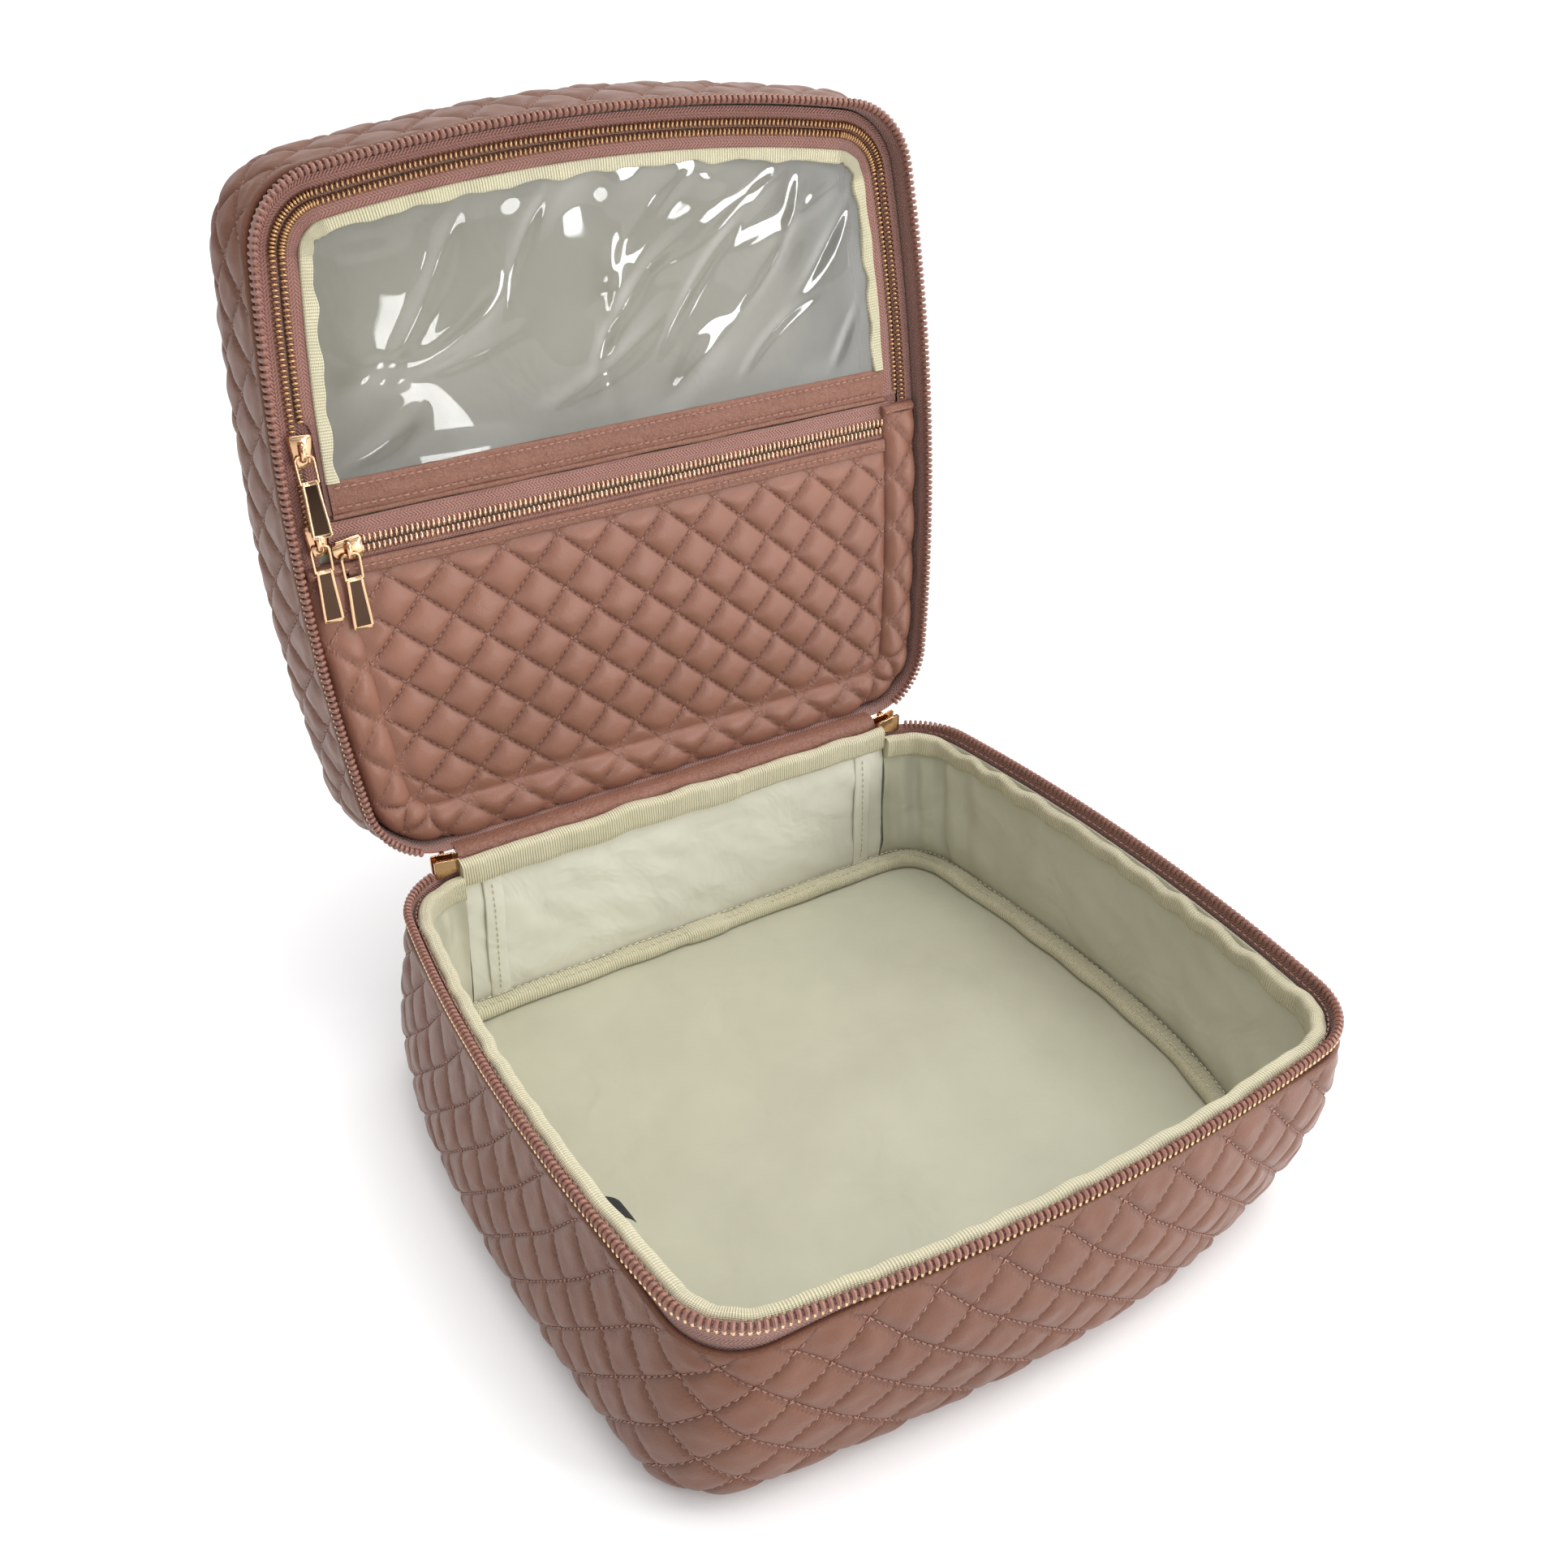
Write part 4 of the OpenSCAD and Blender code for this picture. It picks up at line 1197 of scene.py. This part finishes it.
# ---------- the clear window ----------
def window_relief(x, y):
    """Soft creases and bulges of the clear sheet, forwards positive."""
    out = 0.7 * noise2(x, y, 130, 41) + 0.22 * noise2(x, y, 60, 42)
    r = np.random.default_rng(5)
    for _ in range(24):
        cx, cy = r.uniform(-108, 108), r.uniform(-116, -32)
        ang = r.normal(-0.55, 0.45)
        length, width = r.uniform(18, 60), r.uniform(1.8, 5.0)
        tall = r.choice([-1, 1]) * r.uniform(0.25, 0.95)
        dx, dy = x - cx, y - cy
        along = dx * math.cos(ang) + dy * math.sin(ang)
        across = -dx * math.sin(ang) + dy * math.cos(ang) + r.uniform(-0.008, 0.008) * along**2
        out = out + tall * np.exp(-((across / width) ** 2)) * smooth(1 - np.abs(along) / length, 0, 0.8)
    tucks = np.exp(-(((y + 112) / 9) ** 2)) * np.sin(x * 2 * math.pi / 37 + 0.6 * np.sin(x / 19))
    return out + 0.9 * tucks


def window():
    def inside(x, y):
        return np.minimum(inset_of(x, y) - 21.2, (REAR_Y - 149.0) - y)

    x, y, tri = clipped(-116, 116, -117, -24, inside, steps=1, cell=(1.5, 1.5))
    d = inside(x, y)
    w = window_relief(x, y) * smooth(d, 0, 13)
    w = np.where(w > 0, w, w * 0.9)
    o = slab_piece("flap_clear_window", on_lid, x, y, tri, 9.85 - w, 10.15 - w, [clear_vinyl])
    finish_piece(o, "flap", "clear_vinyl", "flap_window")


window()


# ---------- bindings of the base ----------
# A shift function gives the changes to the inset and to the depth of a ribbon's section along the rim.
def rolled(s, sec):
    """The rim's ribbon: full at the front and left, thin and wavy down the right side."""
    side = np.mod(s + HALF, AROUND) - HALF
    right = smooth(side, S_FRONT_CORNER + 10, S_FRONT_CORNER + 45) * smooth(S_REAR_CORNER - side, -10, 20)
    wave = 0.5 * noise2(s, 0 * s, 26, 51) + right * 0.9 * np.sin(s * 2 * math.pi / 21 + np.sin(s / 17))
    depth = 0.9 * wave + right * 2.6 * (sec[..., 1] < 9)
    belly = 0.5 * (sec[..., 0] > 7) * (1 - right)
    return belly + 0.35 * noise2(s, sec[..., 1], 21, 52), depth


def rear_roll(s, sec):
    """The ribbon along the rear panel, thicker where its ends overlap."""
    lap = 0.9 * smooth(s - HALF, -26, -23)
    belly = lap * (sec[..., 0] > 7) + 0.35 * noise2(s, sec[..., 1], 24, 61)
    return belly, 0.8 * noise2(s, 0 * s, 34, 62) - lap * (sec[..., 1] < 9)


def floor_roll(s, sec):
    """The flat binding round the floor, with a short overlap at the rear."""
    lap = smooth(s - HALF, -14, -12) * smooth(HALF - s, -6, -4)
    inset = (0.7 * lap + 0.45 * noise2(s, 0 * s, 33, 71)) * (sec[..., 0] > 8)
    return inset, -(0.6 * lap + 0.35 * noise2(s, sec[..., 0], 28, 72)) * (sec[..., 1] < 69)


def ring_stitches(name, s0, s1, inset, depth, slot, thread, tilt=(1.0, 0.0)):
    """A row of stitches along the base's rim at one inset and depth; tilt turns the row's face."""
    pitch = 3.1
    s = np.arange(s0, s1 - 2, pitch)

    def surf(u, w, relief=True):
        x, y = rim(u, inset + w * tilt[1])
        return on_base(x, y, depth + w * tilt[0] + 0 * u)

    start, end = np.c_[s, 0 * s], np.c_[s + 0.66 * pitch, 0 * s]
    sew(name, surf, start, end, "base", slot, thread, radius=0.3)


S_BIND = s_at_rear_x(92.5, 7.0)
# name, ends, section, CAD node, edge, step
for name, s0, s1, section, node, shift, step in (
    ("rim_binding_ribbon", -S_BIND, S_BIND, (5.2, 9.8, 3.6, 13.8, 2.0, 5), "rim_binding", rolled, 1.6),
    (
        "rim_binding_rear_ribbon", S_BIND + 0.2, AROUND - S_BIND - 0.2, (2.7, 7.8, -0.9, 9.8, 2.4, 6),
        "rim_binding_rear", rear_roll, 1.2,
    ),
    ("floor_binding_ribbon", 0, AROUND, (5.9, 14.2, 66.2, 71.95, 2.4, 5), "floor_binding", floor_roll, 1.4),
):
    woven(name, on_base, s0, s1, section, "base", cream_binding, node, closed=s0 == 0, shift=shift, step=step)
for name, inset, depth in (("floor_binding_stitches", 11.6, 66.1), ("floor_binding_stitches_2", 7.4, 66.15)):
    ring_stitches(name, 0, AROUND, inset, depth, "cream_binding", cream_thread, tilt=(0.3, 0.95))
ring_stitches("rim_tape_stitches", -S_COIL + 12, S_COIL - 12, 4.35, 4.0, "zip_tape", pink_thread)


def panel_seams():
    """The two upright stitched seams of the rear lining panel."""
    top, foot_depth = 9, 67

    def belly(depth):
        return smooth(depth, top, top + 15) * smooth(foot_depth - depth, 0, 12)

    def surf(x, depth, relief=True):
        return on_base(x, REAR_Y - 6.95 - belly(depth), depth)

    for k, x0 in enumerate((-87.5, 87.5)):
        zs = np.linspace(top, foot_depth, 40)
        section = rounded(x0 - 4.0, x0 + 4.0, 5.7, 6.9, 0.5)
        xx = np.repeat(section[None, :, 0], len(zs), 0) + 0.3 * np.sin(zs / 9)[:, None]
        ii = np.repeat(section[None, :, 1], len(zs), 0) + belly(zs)[:, None]
        pts = on_base(xx, REAR_Y - ii, np.repeat(zs[:, None], len(section), 1))
        o = grid_piece(f"lining_seam_{k + 1}", pts, zs, path_length(section), [pale_film], wrap_v=True)
        finish_piece(o, "base", "lining")
        a = np.arange(12, 64, 2.9)
        start, end = np.c_[0 * a + x0, a], np.c_[0 * a + x0, a + 1.8]
        sew(
            f"lining_seam_stitches_{k + 1}", surf, start, end, "base", "lining", cream_thread, side=-1,
            radius=0.26,
        )


panel_seams()


def care_tab():
    """A blank black woven tab standing off the left lining."""
    ny, nz, length = 9, 15, 16
    yy, zz = np.meshgrid(np.linspace(-58, -49, ny), np.linspace(0, length, nz), indexing="ij")
    idx, _ = grid_faces(ny, nz, False, False)
    tri = np.concatenate([idx[:, [0, 1, 2]], idx[:, [0, 2, 3]]])

    def place(y, z, thick):
        """y along the wall, z from the seam to the tab's free end."""
        x0 = -SIDE_CX - np.sqrt((SIDE_R - 8.0) ** 2 - y**2)
        out = 12.5 * np.sin(z / length * 1.2) + 0.4 * np.sin(z / 4 + y / 6)
        down = 9 * (1 - np.cos(z / length * 1.2)) + 0.2 * z
        return np.stack([x0 + out, y, 66 - down + thick], -1)

    o = slab_piece("care_tab", place, yy.ravel(), zz.ravel(), tri, 0.25, -0.25, [black_weave])
    finish_piece(o, "base", "label", "care_label")


care_tab()


# ---------- the sewn hinge ----------
def hinge():
    """One strip of leather from the base's rear edge over the axis to the lid's."""
    line = np.array([
        (122.7, 69.6), (122.7, 73), (122.7, 76), (122.75, 78.3), (123.1, 80.2),
        (124.0, 81.6), (125.4, 82.35), (127.2, 82.6), (130, 82.35), (134.2, 81.95),
    ])
    d = np.gradient(line, axis=0)
    d /= np.hypot(*d.T)[:, None]
    n = np.c_[-d[:, 1], d[:, 0]]
    half = 0.95
    outer, inner = line - n * half, (line + n * half)[::-1]
    section = np.vstack([outer, inner])
    xs = np.linspace(-97.5, 97.5, 90)
    x = np.repeat(xs[:, None], len(section), 1)
    ripple = 0.22 * noise2(x, 0 * x + section[None, :, 1], 30, 81)
    pts = np.stack([x, section[None, :, 0] + ripple, section[None, :, 1] + 0 * x], -1)
    o = grid_piece("hinge_leather", pts, xs, path_length(section), [smooth_leather], wrap_v=True)
    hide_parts("hinge_strip_lower", "hinge_fold", "hinge_strip_upper")
    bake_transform(o)


hinge()

# ---------- metal ----------
FLAP_ZIP_IN, COIL_H = 11.0, 10.0  # the flap zip's inset and its depth in the lid
PIN_BACK, PIN_UP = 1.6, 4.2  # a pull's pin, from its slider's middle
UPPER_V, LOWER_V, POCKET_V, POCKET_X, MAIN_X = 162.5, 131.0, 126.0, -114.0, 103.0


def turn_z(p, angle):
    c, s = math.cos(angle), math.sin(angle)
    return np.stack([p[..., 0] * c - p[..., 1] * s, p[..., 0] * s + p[..., 1] * c, p[..., 2]], -1)


def lid_front_frame(x, v):
    """Local X across the lid, Y up it, Z towards the viewer."""
    return lambda p: open_lid(np.stack([x + p[..., 0], REAR_Y - v - p[..., 1], RIM_Z + COIL_H - p[..., 2]], -1))


def flap_zip_frame(v, travel):
    """Local X along the flap's zip."""
    y0 = REAR_Y - v
    x0, x1 = -half_at(v, FLAP_ZIP_IN), -half_at(v + travel, FLAP_ZIP_IN)
    angle = math.pi / 2 + math.atan2(x1 - x0, travel)

    def place(p):
        q = turn_z(np.stack([-p[..., 0], p[..., 1], -p[..., 2]], -1), angle)
        return open_lid(q + np.array([x0, y0, RIM_Z + COIL_H]))

    return place


def main_zip_frame(x):
    """Local X along the rear wall, Z away from the case; mirrored on the right."""
    side = -1 if x < 0 else 1
    return lambda p: np.stack([x + side * p[..., 0], REAR_Y - 2 + p[..., 2], RIM_Z + p[..., 1]], -1)


def swept(name, place, stations, section, mats, panel=None):
    """A solid swept along stations (position, half width, thickness factor).

    Each row of its section is (edge, offset, z): x is edge times the half width, plus the offset.
    """
    pts = np.array([[(pos, e * w + o, z * k) for e, o, z in section] for pos, w, k in stations])
    nu, nv = pts.shape[:2]
    faces, _ = grid_faces(nu, nv, False, True)
    caps = np.array([np.arange(nv)[::-1], (nu - 1) * nv + np.arange(nv)])
    index = np.zeros(len(faces) + 2, int)
    if panel:
        i, j = np.meshgrid(np.arange(nu - 1), np.arange(nv), indexing="ij")
        i, j = i.ravel(), j.ravel()
        index[: len(faces)] = (i >= panel[0]) & (i < panel[1]) & (j == panel[2])
    uvs = [np.zeros(faces.shape + (2,)), np.zeros(caps.shape + (2,))]
    return build(name, place(pts.reshape(-1, 3)), [faces, caps], uvs, mats, mat_index=index)


PLATE_SECTION = [
    (-1, 0, -0.3), (-1, 0, 0.15), (-1, 0.3, 0.5), (-1, 0.6, 0.58), (-1, 0.9, 0.56), (-1, 1.1, 0.40),
    (1, -1.1, 0.40), (1, -0.9, 0.56), (1, -0.6, 0.58), (1, -0.3, 0.5), (1, 0, 0.15), (1, 0, -0.3),
    (1, -0.4, -0.58), (-1, 0.4, -0.58),
]


SLIDER_STATIONS = [
    (-5.45, 2.0, 0.93), (-5.1, 2.7, 0.97), (-3.6, 3.2, 1), (-1, 3.45, 1),
    (1.5, 3.9, 1), (4.0, 4.2, 1), (5.0, 4.15, 0.98), (5.45, 3.7, 0.93),
]
SLIDER_TOP = [
    (-1, 0, 1.8), (-1, 0, 2.3), (-1, 0.5, 2.85), (-0.5, 0, 3.12), (0, 0, 3.22),
    (0.5, 0, 3.12), (1, -0.5, 2.85), (1, 0, 2.3), (1, 0, 1.8),
]
SLIDER_BACK = [(-1, 0.3, -2.8), (-1, 0.3, -1.75), (1, -0.3, -1.75), (1, -0.3, -2.8)]
SLIDER_POST = [(-1, 0, -1.9), (-1, 0, 1.9), (1, 0, 1.9), (1, 0, -1.9)]


def joined(name, parts):
    """One object from several, first part's materials kept."""
    bm = bmesh.new()
    for o in parts:
        bm.from_mesh(o.data)
    bm.to_mesh(parts[0].data)
    bm.free()
    parts[0].data.set_sharp_from_angle(angle=math.radians(38))
    for o in parts[1:]:
        bpy.data.objects.remove(o)
    parts[0].name = name
    return parts[0]


def pull_piece(node, body, place, tilt=0.0):
    """A wire loop and a long bevelled plate with a dark polished face, hanging towards local -Y."""
    def hang(p):
        c, s = math.cos(tilt), math.sin(tilt)
        y, z = p[..., 1], p[..., 2]
        return place(np.stack([p[..., 0], y * c - z * s - PIN_BACK, y * s + z * c + PIN_UP], -1))

    def across(p):
        return hang(np.stack([p[..., 1], p[..., 0], p[..., 2]], -1))

    plate = [(-8.3, 2.7, 0.5), (-8.6, 3.05, 0.9), (-9.4, 3.15, 1.0), (-9.7, 3.18, 1.0)]
    plate += [(y, 3.18 + 0.6 * smooth(-y, 9.7, 27), 1.0) for y in np.linspace(-12, -26.6, 7)]
    plate += [(-27.0, 3.8, 1.0), (-27.6, 3.72, 0.85), (-27.95, 3.4, 0.5)]
    flat = swept(node + "_plate", across, plate, PLATE_SECTION, [gold, dark_gold], panel=(3, 10, 5))
    turn = np.linspace(0, math.pi / 2, 6)
    corner = [(1.75 + 1.5 * math.cos(a), -1.5 + 1.5 * math.sin(a)) for a in turn]
    right = [(3.1, -9.2), (3.22, -6), (3.25, -3)] + corner
    path = np.array([(x, y, 0) for x, y in right + [(0, 0)]] + [(-x, y, 0) for x, y in right[::-1]])
    ref = hang(np.array([0, 0, 1.0])) - hang(np.zeros(3))
    wire = tubes(node + "_loop", hang(path)[None], ref[None], np.full(len(path), 0.58), 10, [gold])
    o = joined(node + "_metal", [flat, wire])
    finish_piece(o, body, "gold", node)


def slider_piece(node, body, place, arch_turn):
    """A slider's domed front, its back plate, the post between them and the arch that holds the pull."""
    front = swept(node + "_front", place, SLIDER_STATIONS, SLIDER_TOP, [gold])
    rear = swept(node + "_rear", place, SLIDER_STATIONS, SLIDER_BACK, [gold])
    post = swept(node + "_post", place, [(2.1, 0.28, 1), (4.4, 0.28, 1)], SLIDER_POST, [gold])
    half = [(3.05, 2.9), (3.05, 4.4), (2.85, 5.0), (2.3, 5.5), (1.2, 5.68), (0, 5.7)]
    path = np.array([(x, 0, z) for x, z in half] + [(-x, 0, z) for x, z in half[-2::-1]])
    ref = np.array([0, 1.0, 0])
    if arch_turn:
        path, ref = path[:, [1, 0, 2]], np.array([1.0, 0, 0])
    world = place(path)
    ref = place(path[0] + ref) - place(path[0])
    arch = tubes(node + "_arch", world[None], ref[None], np.full(len(path), 0.95), 10, [gold], flat=0.58)
    o = joined(node + "_metal", [front, rear, post, arch])
    finish_piece(o, body, "gold", node)


slider_piece("flap_slider_upper", "slider_upper", flap_zip_frame(UPPER_V, 40), False)
slider_piece("flap_slider_lower", "slider_lower", flap_zip_frame(LOWER_V, 15), False)
slider_piece("pocket_slider", "slider_pocket", lid_front_frame(POCKET_X, POCKET_V), True)
slider_piece("main_slider_left", "base", main_zip_frame(-MAIN_X), True)
slider_piece("main_slider_right", "base", main_zip_frame(MAIN_X), True)
upper_x, lower_x = (-half_at(v, FLAP_ZIP_IN) for v in (UPPER_V, LOWER_V))
pull_piece("flap_pull_upper", "pull_upper", lid_front_frame(upper_x, UPPER_V), math.radians(-10))
pull_piece("flap_pull_lower", "pull_lower", lid_front_frame(lower_x, LOWER_V))
pull_piece("pocket_pull", "pull_pocket", lid_front_frame(POCKET_X, POCKET_V))
pull_piece("main_pull_left", "pull_left", main_zip_frame(-MAIN_X))
pull_piece("main_pull_right", "pull_right", main_zip_frame(MAIN_X))


# ---------- floor, light and camera ----------
def stage():
    """A plain pale floor under a plain studio light."""
    me = bpy.data.meshes.new("floor")
    r = 6.0
    me.from_pydata([(-r, -r, 0), (r, -r, 0), (r, r, 0), (-r, r, 0)], [], [(0, 1, 2, 3)])
    floor = bpy.data.objects.new("floor", me)
    bpy.context.scene.collection.objects.link(floor)
    floor.location.z = -0.0002
    g = Nodes("floor_white")
    g.set(Base_Color=tinted(WHITE, 0.93), Roughness=0.9)
    me.materials.append(g.mat)
    world = bpy.data.worlds.new("studio")
    world.use_nodes = True
    studio_light(world.node_tree)
    bpy.context.scene.world = world
    bpy.context.scene.view_settings.view_transform = "Standard"


def studio_light(tree):
    """White behind the object; lit from above and the right, with soft dark bands for the metal to mirror."""
    g = Nodes("studio", tree)
    around = g.add("TexCoord").outputs["Generated"]
    towards = g.add("VectorMath", {0: around, 1: (0.58, 0.08, 0.81)}, operation="DOT_PRODUCT").outputs["Value"]
    soft = g.ramp(towards, -0.40, 0.95, 0.34, 1.68)
    wave = g.add("TexWave", {"Scale": 1.1, "Distortion": 3.0, "Vector": around}, bands_direction="Z")
    bands = g.ramp(wave.outputs["Fac"], 0.25, 0.7, 0.12, 1.5)
    ray = g.add("LightPath").outputs
    power = g.math("MULTIPLY", soft, g.choose(ray["Is Glossy Ray"], 1.0, bands))
    background = tree.nodes["Background"].inputs
    g.put(background["Strength"], g.choose(ray["Is Camera Ray"], power, 1.06))
    g.put(background["Color"], tinted(WHITE))


def lamp(name, at, look, size, power, size_y=None):
    light = bpy.data.lights.new(name, "AREA")
    light.shape, light.size, light.size_y, light.energy = "RECTANGLE", size, size_y or size, power
    o = bpy.data.objects.new(name, light)
    bpy.context.scene.collection.objects.link(o)
    o.location = at
    o.rotation_euler = (Vector(look) - Vector(at)).to_track_quat("-Z", "Y").to_euler()


def camera():
    """The photograph's camera: place and turn from a fit of the two zip outlines."""
    az, el, roll = math.radians(-28.94), math.radians(32.02), math.radians(-1.83)
    back = Vector((math.sin(az) * math.cos(el), -math.cos(az) * math.cos(el), math.sin(el)))
    right = Vector((0, 0, 1)).cross(back).normalized()
    up = back.cross(right)
    x = right * math.cos(roll) + up * math.sin(roll)
    y = -right * math.sin(roll) + up * math.cos(roll)
    data = bpy.data.cameras.new("camera")
    image, focal, centre_x, centre_y = 1932, 1879.9, 905.5, 971.6  # pixels, from the fit
    data.lens, data.sensor_width = 36 * focal / image, 36
    data.shift_x, data.shift_y = (image / 2 - centre_x) / image, (centre_y - image / 2) / image
    data.clip_start, data.clip_end = 0.01, 50
    cam = bpy.data.objects.new("camera", data)
    cam.matrix_world = Matrix.Translation((-0.2403, -0.3592, 0.4154)) @ Matrix((x, y, back)).transposed().to_4x4()
    bpy.context.scene.collection.objects.link(cam)
    bpy.context.scene.camera = cam


stage()
lamp("key_top", (0.35, -0.15, 1.6), (0, 0.02, 0.08), 0.9, 9)
lamp("front_right", (1.5, -0.9, 0.9), (0, 0.05, 0.12), 0.7, 6)
lamp("strip_window", (0.66, -1.15, 0.45), (0, 0.14, 0.22), 0.11, 4.2, 0.34)
lamp("strip_low", (0.30, -0.99, 0.14), (-0.07, 0.14, 0.24), 0.08, 1.5, 0.28)
camera()
